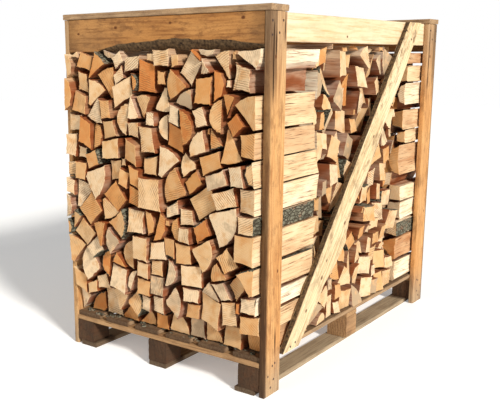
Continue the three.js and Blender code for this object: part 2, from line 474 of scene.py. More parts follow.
@dataclass(frozen=True)
class SawnWood:
    """A sawn board: bands of early and late wood, knots, weathering, dark stains and painted shade."""

    name: str
    pale: Colour
    mid: Colour
    late: Colour
    weathered: Colour = srgb(168, 150, 124)
    # The dark colour of stains, also used for painted shade.
    stain: Colour = srgb(58, 36, 20)
    knot: Colour = srgb(92, 50, 24)
    rind: Colour = srgb(112, 88, 60)
    rind_dark: Colour = srgb(40, 29, 19)
    ring_scale: float = 30.0
    ring_depth: float = 0.45
    speckle: float = 0.35
    dirt: float = 0.3
    knots: tuple[Knot, ...] = ()
    relief: float = 1.5 * MM

    def material(self) -> bpy.types.Material:
        """Makes the material; weathering, dark stains and painted shade come from the board's own layers."""
        s = Shader(self.name, roughness=0.8, specular=0.22)
        fibre = s.layer("fibre", vector=True)
        seed = s.layer("seed")
        knot_mask, fibre = self._around_knots(s, fibre)
        bent = s.node("VectorMath", operation="ADD")
        s.put(bent.inputs[0], s.stretch(fibre, (1.0, 0.06, 0.6)))
        drift = s.node("CombineXYZ")
        wander = s.noise(s.stretch(fibre, (1.0, 0.25, 1.0)), 9, 2, seed)
        s.put(drift.inputs[0], s.math("MULTIPLY", wander, 0.09))
        s.put(bent.inputs[1], drift.outputs[0])
        bands = s.wave(bent.outputs[0], self.ring_scale, rings=False, distortion=1.4)
        streak = s.noise(s.stretch(fibre, (1.0, 0.04, 1.0)), 170, 4, seed, 0.65)
        broad = s.noise(s.stretch(fibre, (1.0, 0.2, 1.0)), 13, 3, seed)
        grit = s.noise(s.stretch(fibre, (1.0, 0.3, 1.0)), 620, 2, seed, 0.7)
        colour = s.ramp(broad, (0.30, self.pale), (0.62, self.mid))
        band_depth = s.span(s.noise(fibre, 6, 2, s.math("ADD", seed, 3.0)), 0.35, 0.65, 0.3, 1.0)
        bands_seen = s.math("MULTIPLY", s.span(bands, 0.45, 0.95, 0.0, self.ring_depth), band_depth)
        colour = s.mix(bands_seen, colour, self.late)
        dirt = s.noise(s.stretch(fibre, (1.0, 0.45, 1.0)), 38, 5, s.math("ADD", seed, 9.0), 0.72)
        colour = s.mix(s.span(dirt, 0.46, 0.66, 0.0, self.dirt), colour, self.knot)
        colour = s.mix(s.span(streak, 0.48, 0.68, 0.0, 0.65), colour, self.late)
        wear = s.math("MULTIPLY", s.layer("weathering"), s.span(broad, 0.25, 0.65, 0.55, 1.0))
        grey = s.mix(s.span(streak, 0.42, 0.66), self.weathered, s.mix(0.5, self.weathered, self.stain))
        colour = s.mix(wear, colour, grey)
        specks = s.span(grit, 0.56, 0.74, 0.0, 1.0)
        colour = s.mix(s.math("MULTIPLY", specks, self.speckle), colour, self.knot)
        # This dark layer holds real stains and also painted shade: runners' ends, deck tops, blocks and crack
        # walls.
        stain_depth = s.math("MULTIPLY", s.layer("stain"), s.span(streak, 0.30, 0.55, 0.86, 1.0))
        colour = s.mix(stain_depth, colour, self.stain)
        colour = s.mix(knot_mask, colour, self.knot)
        edge_noise = s.math("MULTIPLY", s.math("SUBTRACT", dirt, 0.5), 0.9)
        barked = s.span(s.math("ADD", s.layer("wane"), edge_noise), 0.42, 0.58)
        rind = s.ramp(s.noise(fibre, 110, 4, seed, 0.65), (0.36, self.rind_dark), (0.64, self.rind))
        colour = s.mix(barked, colour, rind)
        height = s.math("ADD", s.math("MULTIPLY", streak, 0.5), s.math("MULTIPLY", grit, 0.3))
        height = s.math("ADD", height, s.math("MULTIPLY", bands, 0.15))
        return s.finish(colour, height, self.relief)

    def _around_knots(self, s: Shader, fibre: Socket) -> tuple[object, Socket]:
        """Marks the knots and bends the grain around them.

        Args:
            s: The shader being built.
            fibre: The board's own coordinates.

        Returns:
            The knots' mask, and the coordinates bent around them.
        """
        mask: object = 0.0
        for knot in self.knots:
            offset = s.node("VectorMath", operation="SUBTRACT")
            s.put(offset.inputs[0], fibre)
            offset.inputs[1].default_value = (knot.across, knot.along, 0.0)
            reach = s.node("VectorMath", operation="LENGTH")
            s.put(reach.inputs[0], s.stretch(offset.outputs[0], (1.0, 0.7, 0.0)))
            distance = s.math("ADD", reach.outputs["Value"],
                              s.math("MULTIPLY", s.noise(fibre, 130, 2), 0.3 * knot.radius))
            core = s.span(distance, 0.55 * knot.radius, 1.25 * knot.radius, 0.95, 0.0)
            mask = s.math("MAXIMUM", mask, core)
            push = s.span(distance, 0.0, 4.5 * knot.radius, 0.9 * knot.radius, 0.0)
            shift = s.node("CombineXYZ")
            s.put(shift.inputs[0], push)
            moved = s.node("VectorMath", operation="ADD")
            s.put(moved.inputs[0], fibre)
            s.put(moved.inputs[1], shift.outputs[0])
            fibre = moved.outputs[0]
        return mask, fibre


@dataclass(frozen=True)
class NailSteel:
    """A nail's head: dull steel with rust in patches."""

    steel: Colour = srgb(88, 84, 80)
    rust: Colour = srgb(96, 48, 24)

    def material(self) -> bpy.types.Material:
        """Makes the material."""
        s = Shader("nail_head", roughness=0.5, specular=0.5)
        s.surface.inputs["Metallic"].default_value = 0.7
        place = s.node("TexCoord").outputs["Object"]
        patch = s.noise(place, 900, 3, 0.0, 0.6)
        colour = s.mix(s.span(patch, 0.42, 0.62), self.steel, self.rust)
        return s.finish(colour, patch, 0.3 * MM)


@dataclass(frozen=True)
class PaleFloor:
    """A plain pale studio floor, very faintly mottled, that glows a little so that it looks white."""

    light: Colour = (0.96, 0.96, 0.955)
    shade: Colour = (0.94, 0.94, 0.935)
    glow: float = 0.24

    def material(self) -> bpy.types.Material:
        """Makes the material."""
        s = Shader("pale_floor", roughness=0.9, specular=0.1)
        place = s.node("TexCoord").outputs["Object"]
        mottle = s.noise(place, 2.0, 2)
        s.surface.inputs["Emission Color"].default_value = (1.0, 1.0, 1.0, 1.0)
        s.surface.inputs["Emission Strength"].default_value = self.glow
        return s.finish(s.mix(mottle, self.light, self.shade), mottle, 0.1 * MM)


# ---------------------------------------------------------------- meshes


@dataclass
class MeshDraft:
    """Collects closed bodies, with the layers that their finishes read, and makes one object of them."""

    name: str
    materials: Sequence[bpy.types.Material]
    sharp_above: float = math.radians(34)
    sharp_end_above: float = math.radians(7)
    points: list[np.ndarray] = field(default_factory=list)
    faces: list[tuple[int, ...]] = field(default_factory=list)
    surfaces: list[int] = field(default_factory=list)
    layers: dict[str, list[np.ndarray]] = field(default_factory=dict)
    count: int = 0

    def add(self, points: np.ndarray, faces: Iterable[tuple[int, ...]], surfaces: Iterable[Surface],
            **layers: np.ndarray) -> None:
        """Adds one closed body.

        Args:
            points: Its corners, one row each.
            faces: Its faces, by the body's own numbering.
            surfaces: What each face is.
            layers: A value or vector for each corner, by layer name.
        """
        self.points.append(points)
        self.faces.extend(tuple(i + self.count for i in face) for face in faces)
        self.surfaces.extend(surface.value for surface in surfaces)
        for name, values in layers.items():
            self.layers.setdefault(name, []).append(values)
        self.count += len(points)

    def make(self, slot: Slot, *nodes: str) -> bpy.types.Object:
        """Makes the object, rides it on the crate and says what it stands for.

        Args:
            slot: The record's slot that it takes its finish from.
            nodes: The CAD nodes that it stands for.

        Returns:
            The object.
        """
        mesh = bpy.data.meshes.new(self.name)
        mesh.from_pydata(np.concatenate(self.points).tolist(), [], self.faces)
        for material in self.materials:
            mesh.materials.append(material)
        mesh.polygons.foreach_set("material_index", self.surfaces)
        for name, chunks in self.layers.items():
            values = np.concatenate(chunks).astype(np.float32)
            kind, key = ("FLOAT_VECTOR", "vector") if values.ndim == 2 else ("FLOAT", "value")
            mesh.attributes.new(name, kind, "POINT").data.foreach_set(key, values.ravel())
        self._smooth(mesh)
        piece = bpy.data.objects.new(self.name, mesh)
        bpy.context.scene.collection.objects.link(piece)
        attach(piece, BODY)
        if nodes:
            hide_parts(*nodes)
        log.info("%s: %d faces, slot %s, for %s", self.name, len(mesh.polygons), slot.value,
                 ", ".join(nodes) or "no CAD node")
        return piece

    def _smooth(self, mesh: bpy.types.Mesh) -> None:
        """Turns the faces outwards, smooths them and keeps the edges between steep faces sharp.

        Args:
            mesh: The mesh.
        """
        draft = bmesh.new()
        draft.from_mesh(mesh)
        bmesh.ops.recalc_face_normals(draft, faces=draft.faces)
        for face in draft.faces:
            face.smooth = True
        for edge in draft.edges:
            sawn = any(face.material_index == Surface.END.value for face in edge.link_faces)
            limit = self.sharp_end_above if sawn else self.sharp_above
            edge.smooth = edge.calc_face_angle(math.pi) < limit
        draft.to_mesh(mesh)
        draft.free()


def sweep_faces(stations: int, around: int) -> list[tuple[int, ...]]:
    """The side faces of a body swept through rings of points.

    Args:
        stations: How many rings.
        around: How many points each has.

    Returns:
        The faces, ring by ring.
    """
    return [
        (s * around + p, s * around + (p + 1) % around,
         (s + 1) * around + (p + 1) % around, (s + 1) * around + p)
        for s in range(stations - 1)
        for p in range(around)
    ]


# ---------------------------------------------------------------- split logs


class Split(Enum):
    """The sections that splitting a round leaves, with how often each comes up."""

    QUARTER = 12
    BILLET = 44
    WEDGE = 10
    HALF_ROUND = 2
    KITE = 16
    SLAB = 4
    FIVE_SIDED = 12


@dataclass
class Section:
    """A log's section in a row's across and up plane, in metres, anticlockwise."""

    points: np.ndarray
    barked: np.ndarray
    pith: np.ndarray

    def turned(self, angle: float) -> "Section":
        """Returns the section turned about its middle by an angle in radians.

        Args:
            angle: The angle.

        Returns:
            The turned section, with its middle at 0, 0.
        """
        turn = np.array([[math.cos(angle), math.sin(angle)], [-math.sin(angle), math.cos(angle)]])
        middle = self.points.mean(0)
        return Section((self.points - middle) @ turn, self.barked, (self.pith - middle) @ turn)

    def moved(self, across: float, up: float) -> "Section":
        """Returns the section moved across and up.

        Args:
            across: How far across.
            up: How far up.

        Returns:
            The moved section.
        """
        shift = np.array([across, up])
        return Section(self.points + shift, self.barked, self.pith + shift)

    def area(self) -> float:
        """The section's area."""
        x, z = self.points.T
        return 0.5 * abs(np.dot(x, np.roll(z, -1)) - np.dot(z, np.roll(x, -1)))

    def outlines(self, column: float) -> tuple[np.ndarray, np.ndarray]:
        """The section's lower and upper outline.

        Args:
            column: The width of the columns that they are read in.

        Returns:
            The lowest and the highest point in each column.
        """
        x, z = self.points.T
        first, last = int(x.argmin()), int(x.argmax())
        count = len(x)
        under = [(first + i) % count for i in range((last - first) % count + 1)]
        over = [(last + i) % count for i in range((first - last) % count + 1)][::-1]
        across = np.arange(x.min() + column / 2, x.max(), column)
        return np.interp(across, x[under], z[under]), np.interp(across, x[over], z[over])

    def lean(self) -> tuple[float, float]:
        """The area left between the section and a wall that it touches, to its left and to its right.

        Returns:
            The area at a left wall and the area at a right wall.
        """
        x, z = self.points.T
        low, high = int(z.argmin()), int(z.argmax())
        count = len(x)
        right = [(low + i) % count for i in range((high - low) % count + 1)]
        left = [(high + i) % count for i in range((low - high) % count + 1)][::-1]
        heights = np.linspace(z.min(), z.max(), 16)
        height = z.max() - z.min()
        on_right = np.interp(heights, z[right], x[right])
        on_left = np.interp(heights, z[left], x[left])
        return float((on_left - x.min()).mean() * height), float((x.max() - on_right).mean() * height)


@dataclass
class Splitter:
    """Splits rounds into sections, the same ones for the same seed."""

    rng: random.Random
    size: float = 72 * MM
    spread: float = 0.17
    bark_share: float = 0.15

    def section(self) -> Section:
        """Splits off one section.

        Returns:
            The section, at the place where its own kind of split leaves it.
        """
        kind = self.rng.choices(list(Split), [k.value for k in Split])[0]
        size = self.size * self.rng.gauss(1.0, self.spread)
        size = min(max(size, 0.62 * self.size), 1.35 * self.size)
        points, arc, pith = getattr(self, "_" + kind.name.lower())(size)
        barked = np.zeros(len(points), bool)
        if self.rng.random() < self.bark_share:
            barked[list(arc)] = True
        return Section(np.array(points), barked, np.array(pith))

    def _arc(self, radius: float, start: float, span: float, steps: int) -> list[tuple[float, float]]:
        """Points on an arc about the pith.

        Args:
            radius: The arc's radius.
            start: The angle that it starts at.
            span: The angle that it covers.
            steps: How many steps it has.

        Returns:
            The points, in order.
        """
        return [(radius * math.cos(start + span * i / steps), radius * math.sin(start + span * i / steps))
                for i in range(steps + 1)]

    def _loosened(self, corners: list, share: float, size: float) -> list[tuple[float, float]]:
        """Moves each corner a little, as no split is quite straight.

        Args:
            corners: The corners.
            share: How far they may move, as a share of the section's size.
            size: The section's size.

        Returns:
            The moved corners.
        """
        return [(x + self.rng.uniform(-share, share) * size, z + self.rng.uniform(-share, share) * size)
                for x, z in corners]

    def _quarter(self, size: float) -> tuple[list, Iterable[int], tuple[float, float]]:
        """A quarter of a round, with its pith corner split off.

        Args:
            size: The size of the split.

        Returns:
            Its corners, which of its sides may be barked, and its pith.
        """
        span = math.radians(self.rng.uniform(58, 96))
        radius = 1.18 * size
        steps = 5
        tip = self.rng.uniform(0.05, 0.22) * radius
        arc = self._arc(radius, 0, span, steps)
        inner = [(tip * math.cos(span), tip * math.sin(span)), (tip, 0.0)]
        return arc + inner, range(steps), (0.0, 0.0)

    def _wedge(self, size: float) -> tuple[list, Iterable[int], tuple[float, float]]:
        """A slim wedge with a narrow outer arc.

        Args:
            size: The size of the split.

        Returns:
            Its corners, which of its sides may be barked, and its pith.
        """
        span = math.radians(self.rng.uniform(34, 52))
        radius = 1.35 * size
        steps = 3
        arc = self._arc(radius, 0, span, steps)
        tip = self.rng.uniform(0.1, 0.2) * radius
        inner = [(tip * math.cos(span), tip * math.sin(span)), (tip, 0.0)]
        return arc + inner, range(steps), (0.0, 0.0)

    def _half_round(self, size: float) -> tuple[list, Iterable[int], tuple[float, float]]:
        """Half of a small round.

        Args:
            size: The size of the split.

        Returns:
            Its corners, which of its sides may be barked, and its pith.
        """
        steps = 8
        radius = 0.68 * size
        return self._arc(radius, 0.12, math.pi - 0.24, steps), range(steps), (0.0, 0.0)

    def _billet(self, size: float) -> tuple[list, Iterable[int], tuple[float, float]]:
        """A four-sided billet.

        Args:
            size: The size of the split.

        Returns:
            Its corners, which of its sides may be barked, and its pith.
        """
        wide = size * self.rng.uniform(0.92, 1.16)
        tall = size * self.rng.uniform(0.78, 1.0)
        corners = [(0, 0), (wide, 0), (wide, tall), (0, tall)]
        away = self.rng.uniform(0.3, 1.6) * size
        return self._loosened(corners, 0.1, size), (1,), (-away, 0.4 * tall)

    def _kite(self, size: float) -> tuple[list, Iterable[int], tuple[float, float]]:
        """A leaning four-sided piece.

        Args:
            size: The size of the split.

        Returns:
            Its corners, which of its sides may be barked, and its pith.
        """
        lean = self.rng.uniform(0.10, 0.30) * size
        wide = size * self.rng.uniform(0.9, 1.1)
        tall = size * self.rng.uniform(0.75, 0.95)
        points = [(0, 0), (wide, 0), (wide + lean, tall), (lean, tall * self.rng.uniform(0.8, 1.05))]
        return points, (2,), (0.5 * wide, -0.5 * size)

    def _slab(self, size: float) -> tuple[list, Iterable[int], tuple[float, float]]:
        """A thin slab from under the bark.

        Args:
            size: The size of the split.

        Returns:
            Its corners, which of its sides may be barked, and its pith.
        """
        wide = size * self.rng.uniform(1.1, 1.35)
        tall = size * self.rng.uniform(0.42, 0.55)
        points = [(0, 0), (wide, 0), (0.86 * wide, 0.72 * tall), (0.5 * wide, tall),
                  (0.12 * wide, 0.7 * tall)]
        return points, (1, 2, 3, 4), (0.5 * wide, -0.8 * size)

    def _five_sided(self, size: float) -> tuple[list, Iterable[int], tuple[float, float]]:
        """A billet with one corner split away.

        Args:
            size: The size of the split.

        Returns:
            Its corners, which of its sides may be barked, and its pith.
        """
        shape = [(0, 0), (0.95, 0), (1.08, 0.55), (0.62, 1.0), (0.02, 0.82)]
        corners = [(x * size, z * size) for x, z in shape]
        return self._loosened(corners, 0.05, size), (2, 3), (-0.2 * size, -0.2 * size)


@dataclass
class Stack:
    """Sets sections down one by one between two walls, each where it leaves the least room unused."""

    low: float
    high: float
    base: float
    top: float
    splitter: Splitter
    gap: float = 1.2 * MM
    column: float = 2 * MM
    lift: float = 0.5
    tries: int = 4
    thinnest: float = 13 * MM
    slot: float = 26 * MM
    splinter: float = 13 * MM
    scales: tuple[float, ...] = (1.0, 0.8, 0.62, 0.48)
    patience: int = 7

    def __post_init__(self) -> None:
        """Starts with an empty floor."""
        self.sky = np.full(int((self.high - self.low) / self.column), self.base)

    def fill(self) -> list[Section]:
        """Stacks sections until no more fit under the top.

        Returns:
            The sections where they lie, from the bottom up.
        """
        placed: list[Section] = []
        misses = 0
        while misses < self.patience * len(self.scales):
            section = self._settle(self._candidates(self.scales[misses // self.patience]))
            if section is None:
                misses += 1
            else:
                misses = 0
                placed.append(section)
                placed += self._plug()
        return placed

    def _plug(self) -> list[Section]:
        """Closes the narrow slots between neighbours, so that the next logs bridge them.

        Returns:
            The splinters that lie in the wider ones.
        """
        rng = self.splitter.rng
        reach = round(self.slot / self.column)
        crests = np.lib.stride_tricks.sliding_window_view(self.sky, reach).max(1)
        crests = np.pad(crests, reach - 1, constant_values=math.inf)
        closed = np.lib.stride_tricks.sliding_window_view(crests, reach).min(1)
        placed: list[Section] = []
        deep = closed - self.sky > self.splinter
        edges = np.flatnonzero(np.diff(np.concatenate([[False], deep, [False]]).astype(int)))
        for start, end in zip(edges[::2], edges[1::2]):
            low = float(self.sky[start:end].max()) + 1 * MM
            high = float(closed[start:end].min())
            if (end - start) * self.column >= self.splinter and high - low > 1.5 * self.splinter:
                left = self.low + start * self.column + 1 * MM
                right = self.low + end * self.column - 1 * MM
                corners = [(left, low), (right, low), (right - rng.uniform(0, 3) * MM, high),
                           (left + rng.uniform(0, 3) * MM, high - rng.uniform(0, 5) * MM)]
                placed.append(Section(np.array(corners), np.zeros(4, bool), np.array([left - 0.05, low])))
            self.sky[start:end] = closed[start:end]
        return placed

    def level(self, height: float) -> list[Section]:
        """Fills the hollows that are left with small pieces, up to a level.

        Args:
            height: The level.

        Returns:
            The pieces where they lie.
        """
        rng = self.splitter.rng
        placed: list[Section] = []
        start = 0
        while start < len(self.sky) - 9:
            width = min(rng.randint(26, 42), len(self.sky) - start)
            window = self.sky[start:start + width]
            rise = (window[-1] - window[0]) / (width - 1)
            line = window[0] + rise * np.arange(width)
            line = line + (window - line).max() + self.gap
            low, high = float(line[0]), float(line[-1])
            if height - max(low, high) > self.thinnest:
                left = self.low + start * self.column + self.gap
                right = self.low + (start + width) * self.column - self.gap
                inset = rng.uniform(0, 8 * MM)
                points = [(left, low), (right, high), (right - inset, height - rng.uniform(0, 4 * MM)),
                          (left + rng.uniform(0, 8 * MM), height - rng.uniform(0, 4 * MM))]
                placed.append(Section(np.array(points), np.zeros(4, bool), np.array([left, low - 0.03])))
                self.sky[start:start + width] = height
                start += width
            else:
                start += 6
        return placed

    def _candidates(self, scale: float) -> list[tuple[Section, bool]]:
        """Fresh sections in several turns, and whether each is turned to stand flat against a wall.

        Args:
            scale: How large they are, 1 for full size.

        Returns:
            The sections with their marks.
        """
        rng = self.splitter.rng
        found: list[tuple[Section, bool]] = []
        for _ in range(self.tries):
            section = self.splitter.section()
            section.points *= scale
            section.pith *= scale
            edges = np.roll(section.points, -1, 0) - section.points
            angles = [rng.uniform(0, 2 * math.pi) for _ in range(8)]
            found += [(section.turned(angle), False) for angle in angles]
            for across, up in edges:
                flat = math.atan2(up, across)
                found.append((section.turned(-flat + rng.gauss(0, 0.1)), False))
                for wall in (math.pi / 2, -math.pi / 2):
                    found.append((section.turned(wall - flat + rng.gauss(0, 0.03)), True))
        return found

    def _settle(self, candidates: list[tuple[Section, bool]]) -> Section | None:
        """Sets the best of the candidates down.

        Args:
            candidates: Sections to choose from, and whether each belongs against a wall.

        Returns:
            The chosen one where it lies, or None if none fits under the top.
        """
        best = None
        floor = float(self.sky.min())
        for section, for_wall in candidates:
            under, over = section.outlines(self.column)
            width = len(under)
            if width >= len(self.sky):
                continue
            windows = np.lib.stride_tricks.sliding_window_view(self.sky, width)
            drop = (windows - under).max(1)
            unused = (drop * width + under.sum() - windows.sum(1)) * self.column
            area = section.area()
            cost = unused / area + self.lift * (drop + section.points[:, 1].min() - floor) / 0.08
            tall = float(np.ptp(section.points[:, 1]))
            offsets = np.arange(len(drop)) * self.column
            for strip, lean in zip((offsets, offsets[::-1]), section.lean()):
                cost = cost + (strip < 28 * MM) * (strip * tall + lean) / area
            if for_wall:
                cost = cost + 9.0 * (np.minimum(offsets, offsets[::-1]) > 3 * MM)
            cost[drop + over.max() > self.top] = math.inf
            i = int(cost.argmin())
            if best is None or cost[i] < best[0]:
                best = (float(cost[i]), i, float(drop[i]), section, over)
        if best is None or not math.isfinite(best[0]):
            return None
        _, i, drop_by, section, over = best
        reach = self.sky[i:i + len(over)]
        np.maximum(reach, drop_by + over + self.gap, out=reach)
        return section.moved(self.low + i * self.column - section.points[:, 0].min(), drop_by)


@dataclass
class SplitLog:
    """One split log: a section swept along its length, with torn fibres, saw-cut ends and any bark."""

    section: Section
    start: float
    end: float
    lie: Lie
    rng: random.Random
    tone: float
    limits: tuple[float, float]
    open_above: float
    step: float = 6.5 * MM
    stations: int = 12
    clearance: float = 0.6 * MM
    slant: float = 0.05

    def add_to(self, draft: MeshDraft) -> None:
        """Adds the log to a draft.

        Args:
            draft: The mesh being made.
        """
        ring, inward, barked = self._ring()
        around = len(ring)
        dice = np.random.default_rng(self.rng.getrandbits(32))
        depth = self._relief(around, barked, dice)
        t = np.linspace(0, 1, self.stations)[:, None]
        sway = (t - 0.5) * np.array([self.rng.gauss(0, 4.0), self.rng.gauss(0, 2.0)]) * MM
        across = np.clip(ring[:, 0] + inward[:, 0] * depth + sway[:, :1], *self.limits)
        up = ring[:, 1] + inward[:, 1] * depth + sway[:, 1:]
        middle = ring.mean(0)
        cuts = [self._cut(ring, middle, dice) for _ in range(2)]
        along = self.start + t * (self.end - self.start) + (1 - t) * cuts[0] + t * cuts[1]
        ragged = 1.1 * MM * dice.random((2, around)) + 0.3 * MM
        along[0] += ragged[0]
        along[-1] -= ragged[1]
        rim = np.where(barked | np.roll(barked, 1), 2.6 * MM, 0.9 * MM)
        caps = []
        for station, cut, end in ((0, cuts[0], self.start), (-1, cuts[1], self.end)):
            caps.append((across[station] + inward[:, 0] * rim, end + cut, up[station] + inward[:, 1] * rim))
        across = np.concatenate([across.ravel(), *(cap[0] for cap in caps)])
        along = np.concatenate([along.ravel(), *(cap[1] for cap in caps)])
        up = np.concatenate([up.ravel(), *(cap[2] for cap in caps)])
        faces, surfaces = self._faces(around, barked)
        self._write(draft, (across, along, up), faces, surfaces)

    def _ring(self) -> tuple[np.ndarray, np.ndarray, np.ndarray]:
        """The section's outline in small steps.

        Returns:
            Its points, the direction into the wood at each, and whether the step after each is bark.
        """
        points, inward, barked = [], [], []
        corners = self.section.points
        for i, corner in enumerate(corners):
            following = corners[(i + 1) % len(corners)]
            edge = following - corner
            length = float(np.hypot(*edge))
            steps = max(1, round(length / self.step))
            normal = np.array([-edge[1], edge[0]]) / max(length, 1e-9)
            bow = self.rng.uniform(-0.3, 1.0) * 0.035 * length
            ripple = self.rng.uniform(0, 0.9) * MM
            phase = self.rng.uniform(0, 6.3)
            for k in range(steps):
                share = k / steps
                dent = bow * math.sin(math.pi * share) + ripple * (1 + math.sin(9 * share + phase))
                points.append(corner + edge * share + normal * dent)
                inward.append(normal)
                barked.append(bool(self.section.barked[i]))
        ring, into = np.array(points), np.array(inward)
        into = into + np.roll(into, 1, 0)
        into /= np.linalg.norm(into, axis=1)[:, None]
        return ring, into, np.array(barked)

    def _relief(self, around: int, barked: np.ndarray, dice: np.random.Generator) -> np.ndarray:
        """How far each point of each ring lies inside the section.

        Args:
            around: Points in a ring.
            barked: Which steps are bark.
            dice: The log's own random numbers.

        Returns:
            Depths, one row for each station.
        """
        t = np.linspace(0, 1, self.stations)[:, None]
        slim = min(1.0, float(np.ptp(self.section.points, axis=0).min()) / (45 * MM))
        torn = self.rng.uniform(0.6, 2.6) * MM * slim
        ridges = dice.random(around) * torn
        depth = self.clearance + ridges * np.ones_like(t)
        for turns in (1, 2, 3):
            phase = dice.random(around) * 1.4 + self.rng.uniform(0, 6.3)
            depth = depth + 0.35 * torn * (1 + np.sin(turns * math.pi * t + phase))
        dent = self.rng.uniform(0, 2.5) * MM * slim
        hollow = dent * np.sin(np.linspace(0, 2 * math.pi, around) + self.rng.uniform(0, 6))
        depth = depth + np.clip(hollow, 0, None) * np.sin(math.pi * t)
        return depth + barked * dice.random((self.stations, around)) * 1.8 * MM

    def _cut(self, ring: np.ndarray, middle: np.ndarray, dice: np.random.Generator) -> np.ndarray:
        """How far along the log each point of a slightly slanted saw cut lies.

        Args:
            ring: The outline's points.
            middle: Their middle.
            dice: The log's own random numbers.

        Returns:
            The distances.
        """
        slopes = dice.normal(0, self.slant, 2)
        return (ring - middle) @ slopes

    def _faces(self, around: int, barked: np.ndarray) -> tuple[list, list]:
        """The log's faces and what each is: sides, a rim round each end, and the ends.

        Args:
            around: Points in a ring.
            barked: Which steps are bark.

        Returns:
            The faces, and the surface of each.
        """
        faces = sweep_faces(self.stations, around)
        surfaces = [Surface.BARK if barked[p] else Surface.SIDE
                    for _ in range(self.stations - 1) for p in range(around)]
        for which, station in enumerate((0, self.stations - 1)):
            inner = (self.stations + which) * around
            outer = station * around
            for p in range(around):
                q = (p + 1) % around
                faces.append((outer + p, outer + q, inner + q, inner + p))
                surfaces.append(Surface.BARK if barked[p] else Surface.END)
            faces.append(tuple(inner + p for p in range(around)))
            surfaces.append(Surface.END)
        return faces, surfaces

    def _write(self, draft: MeshDraft, place: tuple[np.ndarray, ...], faces: list, surfaces: list) -> None:
        """Adds the finished log and its layers to the draft.

        Args:
            draft: The mesh being made.
            place: Where its points lie across, along and up.
            faces: Its faces.
            surfaces: What each face is.
        """
        across, along, up = place
        near = np.stack([across - self.section.pith[0], along - self.start, up - self.section.pith[1]], 1)
        turn = self.rng.uniform(0, math.pi)
        saw = near.copy()
        saw[:, 0] = near[:, 0] * math.cos(turn) + near[:, 2] * math.sin(turn)
        saw[:, 2] = near[:, 2] * math.cos(turn) - near[:, 0] * math.sin(turn)
        same = np.ones(len(across))
        # Painted shade for the sides: none within 9 mm of the row's walls, full further in, and held at 0.55
        # of full near the pile's top.
        to_wall = np.minimum(across - self.limits[0], self.limits[1] - across)
        behind = np.clip((to_wall - 9 * MM) / (12 * MM), 0, 1)
        shut = behind * np.clip((self.open_above - up) / (20 * MM), 0.55, 1)
        draft.add(self.lie.place(across, along, up), faces, surfaces, fibre=near, saw=saw,
                  seed=same * self.rng.uniform(0, 90), tone=same * self.tone, shut=shut)


